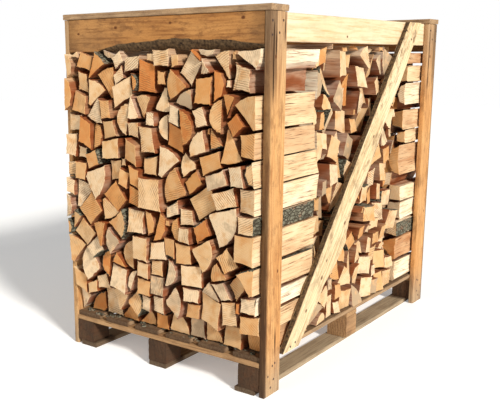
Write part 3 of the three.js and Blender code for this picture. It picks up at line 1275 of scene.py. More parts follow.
@dataclass
class LogRow:
    """A row of stacked logs that fills one of the pile's parts, in bundles of a few logs each."""

    node: str
    name: str
    lie: Lie
    outward: int
    seed: int
    materials: Sequence[bpy.types.Material]
    top_nodes: str = ""
    size: float = 72 * MM
    gap: float = 2.4 * MM
    recess: float = 30 * MM
    back_recess: float = 26 * MM
    back_spread: tuple[float, float] = (-0.8, 1.0)
    back_gap: float = 0.0
    slant: float = 0.07
    # Painted light: how much paler the logs are made in rows whose ends face the key light.
    painted_light_paler: float = 0.0
    foot: float = 1.0
    foot_rise: float = 0.35
    far_strip: float = 30 * MM
    far_recess: float = 0.0
    headroom: float = 0.0
    bundle: int = 6

    def build(self) -> int:
        """Stacks the row and makes its bundles.

        Returns:
            How many logs the row holds.
        """
        rng = random.Random(self.seed)
        low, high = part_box(self.node)
        across_axis, along_axis, _ = self.lie.value
        limits = (low[across_axis], high[across_axis])
        tops = [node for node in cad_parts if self.top_nodes and node.startswith(self.top_nodes)]
        top = max([high.z] + [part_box(node)[1].z for node in tops]) + self.headroom
        stack = Stack(*limits, low.z, top, Splitter(rng, self.size), self.gap)
        sections = stack.fill() + stack.level(top)
        outer = self._outer_face(along_axis)
        inner = (low if self.outward > 0 else high)[along_axis]
        logs = []
        for section in sections:
            recess = rng.triangular(0, self.recess, 0.25 * self.recess)
            height = float(section.points[:, 1].mean())
            recess *= self.foot + (1 - self.foot) * min(1.0, (height - low.z) / self.foot_rise)
            if limits[1] - section.points[:, 0].max() < self.far_strip:
                recess += self.far_recess
            tip = outer(height) - self.outward * recess
            back = inner + self.outward * (self.back_gap + rng.uniform(*self.back_spread) * self.back_recess)
            # Painted light: in rows whose ends face the key light the tone is lowered, so their logs come out
            # paler.
            logs.append(SplitLog(section, min(tip, back), max(tip, back), self.lie, rng,
                                 max(0.0, rng.betavariate(1.7, 1.9) - self.painted_light_paler), limits, top - 30 * MM,
                                 slant=self.slant))
        for node, number in self._top_pairs(tops, sections, across_axis).items():
            draft = MeshDraft(f"split_{node}", self.materials)
            logs[number].add_to(draft)
            draft.make(Slot.LOG, node)
            logs[number] = None
        rest = [one for one in logs if one]
        for start in range(0, len(rest), self.bundle):
            draft = MeshDraft(f"{self.name}_{start // self.bundle + 1:02d}", self.materials)
            for one in rest[start:start + self.bundle]:
                one.add_to(draft)
            draft.make(Slot.LOG, self.node)
        log.info("%s: %d logs", self.name, len(sections))
        return len(sections)

    def _top_pairs(self, nodes: list[str], sections: list[Section], axis: int) -> dict[str, int]:
        """Pairs each separate CAD log on top of the pile with the stacked log nearest to it.

        Args:
            nodes: The CAD logs.
            sections: The stacked logs' sections.
            axis: The axis that runs across the row.

        Returns:
            The number of the section for each CAD log.
        """
        pairs: dict[str, int] = {}
        for node in sorted(nodes):
            low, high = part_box(node)
            place = np.array([(low[axis] + high[axis]) / 2, high.z])
            spots = [(float(np.hypot(*(np.array([s.points[:, 0].mean(), s.points[:, 1].max()]) - place))), i)
                     for i, s in enumerate(sections) if i not in pairs.values()]
            pairs[node] = min(spots)[1]
        return pairs

    def _outer_face(self, axis: int) -> Callable[[float], float]:
        """How far out the row's outer face stands at each height, as its CAD solid gives it.

        Args:
            axis: The axis along the row's logs.

        Returns:
            A function from a height to a place on that axis.
        """
        reach: dict[float, float] = {}
        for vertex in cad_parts[self.node].data.vertices:
            height = round(vertex.co.z, 3)
            out = vertex.co[axis] * self.outward
            reach[height] = max(reach.get(height, -math.inf), out)
        heights = sorted(reach)
        values = [reach[height] for height in heights]

        def face(height: float) -> float:
            """Where the outer face stands at a height."""
            return self.outward * float(np.interp(height, heights, values))
        return face


@dataclass
class CoreLogs:
    """Long billets that lie one on another between the two halves of the middle row and close its gaps."""

    materials: Sequence[bpy.types.Material]
    seed: int = 505
    half_width: float = 21 * MM
    overlap: float = 9 * MM

    def build(self) -> None:
        """Makes the billets as one piece."""
        rng = random.Random(self.seed)
        low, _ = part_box("logs_middle_row_left")
        _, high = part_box("logs_middle_row_right")
        limits = (-self.half_width, self.half_width)
        draft = MeshDraft("middle_row_core", self.materials)
        height = low.z
        while height < high.z:
            tall = rng.uniform(50, 80) * MM
            corners = np.array([(limits[0], height), (limits[1], height), (limits[1], height + tall),
                                (limits[0], height + tall)])
            section = Section(corners, np.zeros(4, bool), np.array([-0.06, height]))
            log_ends = (low.y + rng.uniform(2, 14) * MM, high.y - rng.uniform(2, 14) * MM)
            SplitLog(section, *log_ends, Lie.ALONG_Y, rng, rng.uniform(0.2, 0.8), limits,
                     high.z - 30 * MM).add_to(draft)
            height += tall - self.overlap
        draft.make(Slot.LOG, "logs_middle_row_left")


# ---------------------------------------------------------------- sawn boards


def even(amount: float) -> Callable[..., np.ndarray]:
    """Gives a board the same weathering or darkening all over.

    Args:
        amount: How much, 0 to 1.

    Returns:
        The function that a board asks for the amount at its points.
    """
    def everywhere(across: np.ndarray, *_: np.ndarray) -> np.ndarray:
        """The amount, once for each point."""
        return amount + 0 * across
    return everywhere


@dataclass(frozen=True)
class Crack:
    """A long drying crack in one wide face of a board, in metres from the face's middle and its start."""

    across: float
    start: float
    end: float
    depth: float = 7 * MM
    width: float = 2.3 * MM


@dataclass(frozen=True)
class Wane:
    """Where the log's own round and bark are left along one edge of a board."""

    start: float
    end: float
    height: float
    skew: float = 0.85
    low_edge: bool = True


@dataclass
class Board:
    """A sawn board in the place of its CAD solid, with worn edges, cracks, wane and weathering."""

    node: str
    lie: Lie
    slot: Slot
    finish: bpy.types.Material
    seed: int
    outward: int = 1
    cracks: tuple[Crack, ...] = ()
    wane: Wane | None = None
    corner: float = 2.2 * MM
    column: float = 11 * MM
    station: float = 18 * MM
    wear: float = 1.1 * MM
    weathering: Callable[[np.ndarray, np.ndarray], np.ndarray] | None = None
    # Darkening at each point: stains, and painted shade where the board's function paints it.
    stain: Callable[[np.ndarray, np.ndarray, np.ndarray], np.ndarray] | None = None

    def build(self) -> bpy.types.Object:
        """Makes the board.

        Returns:
            The object.
        """
        dice = np.random.default_rng(self.seed)
        low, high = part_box(self.node)
        axes = self._axes(low, high)
        size = np.array([high[a] - low[a] for a in axes])
        middle = np.array([(high[a] + low[a]) / 2 for a in axes])
        profile = self._profile(size[0], size[2])
        stations = max(4, round(size[1] / self.station) + 1)
        t = np.linspace(0, 1, stations)
        along = (t - 0.5) * size[1]
        across, through, depth, crack = self._shape(profile, size, along, dice)
        length = np.repeat(along[:, None], len(profile), 1)
        length[0] += 1.5 * MM * dice.random(len(profile))
        length[-1] -= 1.5 * MM * dice.random(len(profile))
        faces = sweep_faces(stations, len(profile))
        surfaces = [Surface.SIDE] * len(faces)
        for ring in (0, stations - 1):
            faces.append(tuple(ring * len(profile) + p for p in range(len(profile))))
            surfaces.append(Surface.END)
        points = np.empty((across.size, 3))
        for axis, values, centre in zip(axes, (across, length, through), middle):
            points[:, axis] = values.ravel() + centre
        draft = MeshDraft(f"sawn_{self.node}", (self.finish, self.finish))
        flat = (across.ravel(), length.ravel(), through.ravel())
        wear = self.weathering(*flat[:2]) if self.weathering else np.zeros(across.size)
        stain = self.stain(*flat) if self.stain else np.zeros(across.size)
        # The cracks' painted shade joins the board's dark layer.
        draft.add(points, faces, surfaces, fibre=np.stack(flat, 1),
                  seed=np.full(across.size, float(self.seed) * 1.7), weathering=wear,
                  stain=np.maximum(stain, crack.ravel()), wane=depth.ravel())
        return draft.make(self.slot, self.node)

    def _axes(self, low: Vector, high: Vector) -> tuple[int, int, int]:
        """The axes of the board's width, length and thickness.

        Args:
            low: The low corner of the board's box.
            high: Its high corner.

        Returns:
            The three axes, as numbers.
        """
        length = self.lie.value[1]
        thickness, width = sorted((high[a] - low[a], a) for a in range(3) if a != length)
        return width[1], length, thickness[1]

    def _profile(self, width: float, thickness: float) -> np.ndarray:
        """The board's section, as rows of width and thickness position and the direction into the wood.

        Args:
            width: The board's width.
            thickness: Its thickness.

        Returns:
            The points around the section.
        """
        rows: list[tuple[float, float, float, float]] = []
        half_w, half_t, r = width / 2, thickness / 2, self.corner
        for side in (1, -1):
            spots = list(np.linspace(-half_w + r, half_w - r, max(3, round(width / self.column))))
            if side == self.outward:
                for crack in self.cracks:
                    spots = [x for x in spots if abs(x - crack.across) > 2.4 * crack.width]
                    spots += [crack.across + step * crack.width for step in (-1.8, -1, 0, 1, 1.8)]
            for x in sorted(spots, reverse=side > 0):
                rows.append((x, side * half_t, 0.0, -side))
            edge = -side * half_w
            steps = max(1, round(thickness / self.column))
            rows.append((edge + side * 0.3 * r, side * (half_t - 0.3 * r), side * 0.7, -side * 0.7))
            for k in range(steps + 1):
                z = side * (half_t - r) * (1 - 2 * k / steps)
                rows.append((edge, z, side, 0.0))
            rows.append((edge + side * 0.3 * r, -side * (half_t - 0.3 * r), side * 0.7, side * 0.7))
        return np.array(rows)

    def _shape(self, profile: np.ndarray, size: np.ndarray, along: np.ndarray,
               dice: np.random.Generator) -> tuple[np.ndarray, np.ndarray, np.ndarray, np.ndarray]:
        """Bends the section at each station: wear, cracks and wane.

        Args:
            profile: The section's points.
            size: The board's width, length and thickness.
            along: Where the stations are, from the board's middle.
            dice: The board's own random numbers.

        Returns:
            Positions across and through, how deep the wane is, and the painted shade in the cracks at each
            point.
        """
        count = len(profile)
        corner = (np.abs(profile[:, 2]) * np.abs(profile[:, 3]) > 0.1) * self.wear
        inset = dice.random((len(along), count)) * (0.25 * MM + corner)
        chips = (dice.random((len(along), count)) > 0.965) * corner * 2.2
        inset = inset + chips
        across = profile[:, 0] + profile[:, 2] * inset
        through = profile[:, 1] + profile[:, 3] * inset
        crack_painted_shade = np.zeros_like(across)
        for crack in self.cracks:
            start, end = crack.start - size[1] / 2, crack.end - size[1] / 2
            share = np.clip(np.minimum(along - start, end - along) / 0.04, 0, 1)[:, None]
            on_face = np.abs(profile[:, 1] - self.outward * size[2] / 2) < 1e-6
            off = np.abs(profile[:, 0] - crack.across)
            at = (off < 1e-6) & on_face
            # Painted shade: the crack's walls are darkened.
            crack_painted_shade += share * (off < 1.1 * crack.width) * on_face
            through -= share * at * self.outward * crack.depth
            across += share * at * 0.6 * MM * np.sin(along * 90)[:, None]
        wane_depth = np.zeros_like(across)
        if self.wane:
            edge = -1 if self.wane.low_edge else 1
            start, end = self.wane.start - size[1] / 2, self.wane.end - size[1] / 2
            share = np.clip((along - start) / (end - start), 0.001, 0.999)
            height = self.wane.height * np.sin(math.pi * share ** self.wane.skew) ** 0.75
            height = height * (1 + 0.05 * np.sin(along * 31) + 0.03 * np.sin(along * 113 + 1))
            height = np.where((along > start) & (along < end), height, 0)[:, None]
            from_edge = size[0] / 2 - edge * across
            into = np.clip(1 - from_edge / np.maximum(height, 1e-4), 0, 1) ** 1.5
            face = self.outward * size[2] / 2 * (1 - 1.7 * into)
            if self.outward > 0:
                bent = np.minimum(through, face)
            else:
                bent = np.maximum(through, face)
            bent = np.where(height > 2 * MM, bent, through)
            outside = profile[:, 1] * self.outward > -size[2] / 2 + 1 * MM
            wane_depth = np.clip((height - from_edge) / (8 * MM) + 0.5, 0, 1) * (height > 2 * MM) * outside
            through = bent
        return across, through, wane_depth, crack_painted_shade


@dataclass
class Brace:
    """A diagonal brace: a slab with one straight edge and one that follows the log's wavy outside."""

    node: str
    outward: int
    finish: bpy.types.Material
    seed: int
    columns: int = 12
    rows: int = 84

    def build(self) -> bpy.types.Object:
        """Makes the brace between the CAD solid's own edges.

        Returns:
            The object.
        """
        dice = np.random.default_rng(self.seed)
        low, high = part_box(self.node)
        corners = np.array([v.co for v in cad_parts[self.node].data.vertices])
        heights = np.unique(np.round(corners[:, 2], 5))
        near = np.array([corners[np.abs(corners[:, 2] - z) < 1e-4, 1].min() for z in heights[[0, -1]]])
        far = np.array([corners[np.abs(corners[:, 2] - z) < 1e-4, 1].max() for z in heights])
        z = np.linspace(low.z, high.z, self.rows)
        left = np.interp(z, heights[[0, -1]], near)
        right = np.interp(z, heights, far) - 1.5 * MM * dice.random(self.rows)
        outside, inside = (high.x, low.x) if self.outward > 0 else (low.x, high.x)
        thickness = abs(outside - inside)
        share = np.linspace(0, 1, self.columns)
        rim = 2.0 * MM
        ring_y, ring_in = [], []
        for s in share:
            ring_y.append(s)
            ring_in.append(0.0)
        edge_in = (0.12, 0.5, 0.88)
        ring_y += [1.0] * 3
        ring_in += list(edge_in)
        for s in share[::-1]:
            ring_y.append(s)
            ring_in.append(1.0)
        ring_y += [0.0] * 3
        ring_in += list(edge_in[::-1])
        part, depth = np.array(ring_y), np.array(ring_in)
        around = len(part)
        y = left[:, None] + rim + (right - left - 2 * rim)[:, None] * part
        swell = (depth > 0) & (depth < 1)
        y = y + swell * np.where(part > 0.5, rim, -rim) * dice.uniform(0.1, 1.0, (self.rows, around))
        rough = dice.random((self.rows, around)) * 0.5 * MM
        x = outside - self.outward * (depth * (thickness - 1 * MM) + rough * (depth < 1))
        height = np.repeat(z[:, None], around, 1)
        faces = sweep_faces(self.rows, around)
        surfaces = [Surface.SIDE] * len(faces)
        for station in (0, self.rows - 1):
            faces.append(tuple(station * around + p for p in range(around)))
            surfaces.append(Surface.END)
        slope = math.atan2(near[1] - near[0], high.z - low.z)
        from_foot = np.stack([y.ravel() - left[0], height.ravel() - low.z], 1)
        along = from_foot[:, 0] * math.sin(slope) + from_foot[:, 1] * math.cos(slope)
        across = from_foot[:, 0] * math.cos(slope) - from_foot[:, 1] * math.sin(slope)
        lowness = np.clip(1.15 - (height.ravel() - low.z) / 0.78, 0, 1)
        barked = np.repeat(1.0 * swell[None, :], self.rows, 0).ravel()
        points = np.stack([x.ravel(), y.ravel(), height.ravel()], 1)
        draft = MeshDraft(f"sawn_{self.node}", (self.finish, self.finish))
        draft.add(points, faces, surfaces, fibre=np.stack([across, along, x.ravel()], 1),
                  seed=np.full(len(points), self.seed * 1.7), weathering=0.6 * lowness, stain=barked,
                  wane=barked)
        return draft.make(Slot.PALE, self.node)


@dataclass
class Frame:
    """The crate's nailed frame: posts, headers, caps, rails and braces."""

    post_edge: float = 0.0405
    post_seed: int = 11
    header_seed: int = 31
    cap_seed: int = 41
    rail_seed: int = 51
    brace_seed: int = 61

    def build(self) -> None:
        """Makes every board of the frame."""
        self._posts()
        self._headers()
        self._caps()
        self._rails()
        self._braces()

    def _posts(self) -> None:
        """The four corner posts: weathered at the foot, with dark narrow edges."""
        finish = SawnWood("post_wood", srgb(222, 178, 122), srgb(206, 152, 94), srgb(158, 100, 54),
                          speckle=0.6, dirt=0.45,
                          knots=(Knot(0.44, -0.014, 6 * MM), Knot(-0.18, 0.02, 5 * MM))).material()
        cracks = (Crack(-26 * MM, 0.86, 1.125), Crack(33 * MM, 1.03, 1.125, depth=4 * MM),
                  Crack(-12 * MM, 0.98, 1.10, depth=4 * MM), Crack(12 * MM, 0.12, 0.22, depth=3 * MM))
        for end in ("front", "back"):
            for number, side in enumerate(("left", "right")):
                outward = 1 if side == "right" else -1
                front = -1 if end == "front" else 1

                def weathering(across: np.ndarray, along: np.ndarray) -> np.ndarray:
                    """A post's weathering: its foot and its head."""
                    foot = np.clip((-along - 0.40) / 0.14, 0, 1)
                    head = np.clip((along - 0.26) / 0.24, 0, 1)
                    return 0.75 * foot + 0.55 * head

                def stain(across: np.ndarray, along: np.ndarray, through: np.ndarray,
                          front: int = front, outward: int = outward) -> np.ndarray:
                    """A post's dark marks: its narrow edge and a streak near its top."""
                    narrow = across * front > self.post_edge
                    dark = 0.80 + 0.15 * np.clip(-along / 0.3, -1, 1) if outward > 0 else 0.2
                    streak = (np.abs(across * front - 0.02) < 0.012) * np.clip((along - 0.30) / 0.15, 0, 0.6)
                    return np.maximum(narrow * dark, streak)

                Board(f"post_{end}_{side}", Lie.ALONG_Z, Slot.FRAME, finish,
                      seed=self.post_seed + number + (4 if end == "back" else 0), outward=outward,
                      cracks=cracks if end == "front" else cracks[:1],
                      weathering=weathering, stain=stain).build()

    def _headers(self) -> None:
        """The board across each end, with bark left along its lower edge."""
        for seed, (end, outward) in enumerate((("front", -1), ("back", 1))):
            knots = (Knot(-0.335, 0.006, 5 * MM), Knot(-0.17, 0.022, 6 * MM), Knot(0.31, 0.036, 6 * MM),
                     Knot(0.05, 0.03, 5 * MM))
            finish = SawnWood(f"header_wood_{end}", srgb(200, 144, 82), srgb(176, 116, 56), srgb(120, 70, 34),
                              weathered=srgb(154, 118, 78), ring_scale=22, ring_depth=0.3,
                                speckle=0.9, dirt=0.75, knots=knots).material()
            Board(f"header_{end}", Lie.ALONG_X, Slot.FRAME, finish, seed=self.header_seed + seed,
                  outward=outward, wane=Wane(0.13, 0.86, 35 * MM), column=6 * MM, station=12 * MM,
                  weathering=self._header_weathering, stain=self._header_stain).build()

    def _header_weathering(self, across: np.ndarray, along: np.ndarray) -> np.ndarray:
        """A header's weathering, which grows towards both ends.

        Args:
            across: Where each point is across the header; not used.
            along: Where it is along it.

        Returns:
            The weathering at each point.
        """
        low_end = 0.45 * np.clip((-along - 0.05) / 0.25, 0, 1)
        high_end = 0.3 * np.clip((along - 0.28) / 0.08, 0, 1)
        return 0.2 + low_end + high_end

    def _header_stain(self, across: np.ndarray, along: np.ndarray, through: np.ndarray) -> np.ndarray:
        """A header's darkening: dark at both ends."""
        return 0.5 * np.clip((np.abs(along) - 0.33) / 0.06, 0, 1)

    def _caps(self) -> None:
        """The board on top of each pair of posts."""
        for seed, end in enumerate(("front", "back")):
            finish = SawnWood(f"cap_wood_{end}", srgb(192, 156, 114), srgb(172, 130, 86), srgb(126, 86, 50),
                              speckle=0.7, dirt=0.65,
                              knots=(Knot(-0.2, 0.01), Knot(0.27, -0.02, 7 * MM))).material()
            Board(f"cap_{end}", Lie.ALONG_X, Slot.FRAME, finish, seed=self.cap_seed + seed,
                  weathering=even(0.45)).build()

    def _rails(self) -> None:
        """The pale board along the top of each side."""
        for seed, (side, outward) in enumerate((("right", 1), ("left", -1))):
            knots = (Knot(0.34, 0.012, 7 * MM), Knot(0.37, 0.022, 5 * MM), Knot(0.40, 0.016, 6 * MM),
                     Knot(-0.12, -0.02, 5 * MM))
            finish = SawnWood(f"rail_wood_{side}", srgb(238, 218, 184), srgb(228, 200, 158),
                              srgb(200, 158, 104), ring_scale=18, ring_depth=0.22,
                              speckle=0.12, dirt=0.12, knots=knots).material()
            Board(f"rail_{side}", Lie.ALONG_Y, Slot.PALE, finish, seed=self.rail_seed + seed,
                  outward=outward).build()

    def _braces(self) -> None:
        """The diagonal board on each side."""
        knots = (Knot(0.30, 0.06, 7 * MM), Knot(0.36, 0.05, 5 * MM), Knot(0.52, 0.075, 6 * MM),
                 Knot(0.86, 0.05, 5 * MM), Knot(0.17, 0.04, 6 * MM))
        finish = SawnWood("brace_wood", srgb(244, 228, 190), srgb(230, 204, 158), srgb(184, 138, 84),
                          weathered=srgb(220, 198, 156), ring_scale=26, ring_depth=0.55,
                          speckle=0.5, dirt=0.8, knots=knots).material()
        for seed, (side, outward) in enumerate((("right", 1), ("left", -1))):
            Brace(f"brace_{side}", outward, finish, seed=self.brace_seed + seed).build()


@dataclass
class Pallet:
    """The pallet: runners, blocks, cross boards and deck boards, weathered grey-brown, with painted shade on
    the runners' ends, the decks' tops and the blocks.
    """

    first_seed: int = 70
    runner_end: float = 0.53
    deck_end: float = 0.615
    deck_face: float = 6.5 * MM

    def build(self) -> None:
        """Makes every board and block of the pallet."""
        runner = SawnWood("runner_wood", srgb(186, 166, 136), srgb(168, 144, 112), srgb(120, 96, 68),
                          speckle=0.55).material()
        deck = SawnWood("deck_wood", srgb(190, 150, 104), srgb(160, 116, 72), srgb(104, 70, 40),
                        speckle=0.5).material()
        # Block wood: the blocks' own darker wood, and partly painted shade for the shade under the deck.
        block = SawnWood("block_wood", srgb(104, 74, 50), srgb(70, 50, 34), srgb(40, 28, 20),
                         weathered=srgb(78, 66, 50), ring_scale=16, speckle=0.7, dirt=0.6,
                         relief=3 * MM).material()
        seed = self.first_seed
        for name in sorted(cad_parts):
            seed += 1
            if name.startswith("runner_"):
                # Runners get painted shade at both ends.
                Board(name, Lie.ALONG_Y, Slot.PALLET, runner, seed,
                      weathering=even(0.6),
                      stain=self._runner_stain).build()
            elif name.startswith("deck_board_"):
                # Deck boards get painted shade on their tops and darker ends.
                Board(name, Lie.ALONG_Y, Slot.PALLET, deck, seed, wear=2 * MM,
                      weathering=even(0.55),
                      stain=self._deck_stain).build()
            elif name.startswith("cross_board_"):
                Board(name, Lie.ALONG_X, Slot.PALLET, deck, seed, wear=2 * MM,
                      weathering=even(0.2)).build()
            # Painted light: this block, whose side faces the key light, takes the paler deck finish.
            elif name == "block_middle_right":
                Board(name, Lie.ALONG_Y, Slot.BLOCK, deck, seed, wear=2.5 * MM,
                      column=8 * MM, station=9 * MM,
                      weathering=even(0.2)).build()
            # The other blocks keep the dark block finish with an even darkening, partly painted shade.
            elif name.startswith("block_"):
                Board(name, Lie.ALONG_Y, Slot.BLOCK, block, seed, wear=2.5 * MM,
                      column=8 * MM, station=9 * MM,
                      weathering=even(0.3),
                      stain=even(0.25)).build()

    def _runner_stain(self, across: np.ndarray, along: np.ndarray, through: np.ndarray) -> np.ndarray:
        """Painted shade on a runner: both ends are dark."""
        return 0.8 * (np.abs(along) > self.runner_end)

    def _deck_stain(self, across: np.ndarray, along: np.ndarray, through: np.ndarray) -> np.ndarray:
        """A deck board's darkening: painted shade on the top, and both ends darker."""
        return np.maximum(0.6 * (through > self.deck_face), 0.8 * (np.abs(along) > self.deck_end))


@dataclass
class Nails:
    """Nail heads at the crate's joints, a little proud of the wood."""

    radius: float = 3.6 * MM
    proud: float = 0.9 * MM
    sides: int = 12

    def build(self) -> None:
        """Makes all the nail heads as one piece."""
        draft = MeshDraft("nail_heads", (NailSteel().material(),) * 3)
        for side, outward in (("right", 1), ("left", -1)):
            for end, front in (("front", -1), ("back", 1)):
                low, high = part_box(f"post_{end}_{side}")
                face = high.x if outward > 0 else low.x
                edge = low.y if front < 0 else high.y
                spots = [(20, 65), (52, 47), (35, 25), (44, 92), (58, 97), (9, 1062), (9, 1100),
                         (46, 1068), (66, 1102)]
                for inward, height in spots:
                    self._head(draft, face, edge - front * inward * MM, height * MM, outward)
            low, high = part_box(f"brace_{side}")
            face = high.x if outward > 0 else low.x
            rail_low, rail_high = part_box(f"rail_{side}")
            for step, height in ((0.030, rail_low.z + 0.02), (0.075, rail_low.z + 0.05)):
                self._head(draft, face, high.y - 0.06 - step, height, outward)
            for step, height in ((0.045, low.z + 0.012), (0.075, low.z + 0.018)):
                self._head(draft, face, low.y + step, height, outward)
        draft.make(Slot.STEEL)

    def _head(self, draft: MeshDraft, face: float, y: float, z: float, outward: int) -> None:
        """Adds one head, flat-domed, on a face that looks along X.

        Args:
            draft: The mesh being made.
            face: Where the face stands along X.
            y: The head's place along Y.
            z: Its height.
            outward: 1 if the face looks to +X, -1 if to -X.
        """
        turns = np.linspace(0, 2 * math.pi, self.sides, endpoint=False)
        rings = ((1.0, -1.5 * MM), (1.0, 0.5 * self.proud), (0.72, 0.9 * self.proud))
        points = [(face + outward * out, y + share * self.radius * math.cos(a),
                   z + share * self.radius * math.sin(a)) for share, out in rings for a in turns]
        points.append((face + outward * self.proud, y, z))
        faces = sweep_faces(len(rings), self.sides)
        last = len(points) - 1
        top = (len(rings) - 1) * self.sides
        faces += [(top + p, top + (p + 1) % self.sides, last) for p in range(self.sides)]
        faces.append(tuple(range(self.sides)))
        count = len(points)
        draft.add(np.array(points), faces, [Surface.SIDE] * len(faces), seed=np.zeros(count))


@dataclass
class Crumbs:
    """Flakes of bark and splinters that have fallen on the deck's edge in front of the logs."""

    bark: bpy.types.Material
    seed: int = 5
    count: int = 46

    def build(self) -> None:
        """Makes the flakes as one piece."""
        rng = random.Random(self.seed)
        low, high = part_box("deck_board_1")
        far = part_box("deck_board_6")[1]
        draft = MeshDraft("bark_crumbs", (self.bark,) * 3, sharp_above=math.radians(20))
        for number in range(self.count):
            front = number % 3 > 0
            x = rng.uniform(low.x + 0.02, far.x - 0.02)
            y = (low.y + rng.uniform(0.004, 0.03)) if front else (high.y - rng.uniform(0.004, 0.03))
            self._flake(draft, rng, Vector((x, y, high.z)), rng.uniform(6, 19) * MM)
        draft.make(Slot.BARK)

    def _flake(self, draft: MeshDraft, rng: random.Random, place: Vector, size: float) -> None:
        """Adds one flat, angular flake that lies on the deck.

        Args:
            draft: The mesh being made.
            rng: The crumbs' random numbers.
            place: Where it lies.
            size: How far it reaches from its middle.
        """
        corners = 6
        thick = rng.uniform(0.15, 0.35) * size
        turn = rng.uniform(0, 6.3)
        rim = [(size * rng.uniform(0.5, 1.0) * math.cos(turn + i * 1.047),
                0.6 * size * rng.uniform(0.5, 1.0) * math.sin(turn + i * 1.047)) for i in range(corners)]
        points = [(place.x + x * s, place.y + y * s, place.z + z) for s, z in ((1.0, 0.0), (0.8, thick))
                  for x, y in rim]
        points.append((place.x, place.y, place.z + 1.2 * thick))
        faces = sweep_faces(2, corners)
        faces += [(corners + p, corners + (p + 1) % corners, 2 * corners) for p in range(corners)]
        faces.append(tuple(range(corners)))
        spots = np.array(points)
        draft.add(spots, faces, [Surface.BARK] * len(faces), fibre=spots,
                  seed=np.full(len(points), rng.uniform(0, 50)))


# ---------------------------------------------------------------- studio


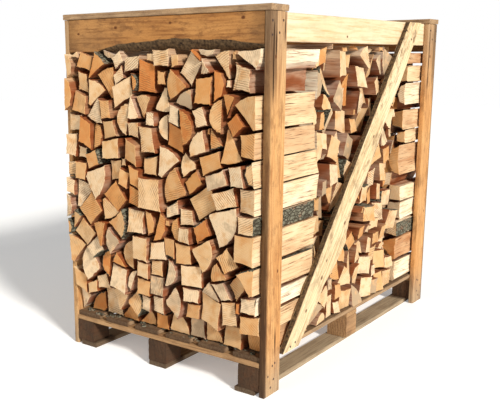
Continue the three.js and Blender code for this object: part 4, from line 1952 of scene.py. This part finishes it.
@dataclass
class Studio:
    """A plain pale floor, soft light from the right and the view of the crate from its front right."""

    eye: tuple[float, float, float] = (1.52845, -2.47645, 0.99638)
    turn: float = 0.66828
    tilt_down: float = 0.20565
    roll: float = -0.00595
    lens: float = 55.57
    shift: tuple[float, float] = (0.1489, 0.0417)
    key_strength: float = 4.1
    key_from: tuple[float, float, float] = (0.80, -0.33, 0.50)
    key_softness: float = math.radians(9)
    key_colour: Colour = (1.0, 0.972, 0.92)
    fill_light: float = 0.24
    front_power: float = 36.0
    front_size: float = 2.6
    front_colour: Colour = (1.0, 0.97, 0.93)
    front_from: tuple[float, float, float] = (-0.33, -0.9, 0.4)
    lamp_distance: float = 5.0
    crate_middle: float = 0.55
    floor_half: float = 14.0

    def build(self) -> None:
        """Makes the floor, the lights and the camera."""
        self._floor()
        self._lights()
        self._camera()

    def _floor(self) -> None:
        """A wide plane under the crate."""
        low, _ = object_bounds()
        half = self.floor_half
        mesh = bpy.data.meshes.new("studio_floor")
        corners = [(x * half, y * half, low.z) for x, y in ((-1, -1), (1, -1), (1, 1), (-1, 1))]
        mesh.from_pydata(corners, [], [(0, 1, 2, 3)])
        mesh.materials.append(PaleFloor().material())
        floor = bpy.data.objects.new("studio_floor", mesh)
        bpy.context.scene.collection.objects.link(floor)
        floor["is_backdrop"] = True

    def _lights(self) -> None:
        """A soft key from the right, a weak one from the front left, and an even pale surround."""
        key = bpy.data.lights.new("key", "SUN")
        key.energy = self.key_strength
        key.angle = self.key_softness
        key.color = self.key_colour
        self._hang(key, Vector(self.key_from))
        fill = bpy.data.lights.new("front_fill", "AREA")
        fill.energy = self.front_power
        fill.size = self.front_size
        fill.color = self.front_colour
        self._hang(fill, Vector(self.front_from))
        world = bpy.data.worlds.new("surround")
        world.use_nodes = True
        tree = world.node_tree
        back = tree.nodes["Background"]
        back.inputs["Color"].default_value = (1.0, 1.0, 1.0, 1.0)
        strength = tree.nodes.new("ShaderNodeMapRange")
        strength.inputs["To Min"].default_value = self.fill_light
        strength.inputs["To Max"].default_value = 1.0
        path = tree.nodes.new("ShaderNodeLightPath")
        tree.links.new(path.outputs["Is Camera Ray"], strength.inputs["Value"])
        tree.links.new(strength.outputs["Result"], back.inputs["Strength"])
        bpy.context.scene.world = world
        bpy.context.scene.view_settings.view_transform = "Standard"

    def _hang(self, lamp: bpy.types.Light, direction: Vector) -> None:
        """Hangs a lamp in a direction from the crate, turned towards it.

        Args:
            lamp: The lamp.
            direction: Where it hangs, as seen from the crate's middle.
        """
        holder = bpy.data.objects.new(lamp.name, lamp)
        holder.location = Vector((0.0, 0.0, self.crate_middle)) + self.lamp_distance * direction.normalized()
        holder.rotation_euler = (-direction).to_track_quat("-Z", "Y").to_euler()
        bpy.context.scene.collection.objects.link(holder)

    def _camera(self) -> None:
        """The camera, a little under the crate's top and level with its middle."""
        lens = bpy.data.cameras.new("view")
        lens.lens = self.lens
        lens.sensor_width = 36.0
        lens.shift_x, lens.shift_y = self.shift
        camera = bpy.data.objects.new("view", lens)
        camera.matrix_world = (
            Matrix.Translation(self.eye) @ Matrix.Rotation(self.turn, 4, "Z")
            @ Matrix.Rotation(math.pi / 2 - self.tilt_down, 4, "X") @ Matrix.Rotation(self.roll, 4, "Z")
        )
        bpy.context.scene.collection.objects.link(camera)
        bpy.context.scene.camera = camera


def main() -> None:
    """Builds the studio, the frame, the pallet, the nails, the crumbs and the pile, in that order."""
    logging.basicConfig(level=logging.INFO, format="%(name)s: %(message)s")
    Studio().build()
    bark = Bark().material()
    Frame().build()
    Pallet().build()
    Nails().build()
    Crumbs(bark).build()
    skins = (SplitFace().material(), EndGrain().material(), bark)
    rows = (
        LogRow("logs_front_row", "front_row", Lie.ALONG_Y, -1, 101, skins, top_nodes="top_log_front",
               headroom=9 * MM),
        # The middle rows' ends face the key light; their logs are made paler as painted light.
        LogRow("logs_middle_row_right", "middle_row_right", Lie.ALONG_X, 1, 202, skins,
               top_nodes="top_log_middle", gap=7 * MM, recess=62 * MM, back_spread=(0.0, 1.0),
               back_gap=24 * MM, slant=0.16, painted_light_paler=0.14, foot=0.15, headroom=14 * MM,
               far_recess=45 * MM),
        LogRow("logs_middle_row_left", "middle_row_left", Lie.ALONG_X, -1, 303, skins, gap=7 * MM,
               recess=62 * MM, back_spread=(0.0, 1.0), back_gap=24 * MM, slant=0.16, painted_light_paler=0.14, foot=0.15,
               headroom=12 * MM, far_recess=45 * MM),
        LogRow("logs_back_row", "back_row", Lie.ALONG_Y, 1, 406, skins, gap=1.4 * MM, headroom=12 * MM),
    )
    logs = sum(row.build() for row in rows)
    CoreLogs(skins).build()
    log.info("%d stacked logs", logs)


if __name__ == "__main__":
    main()
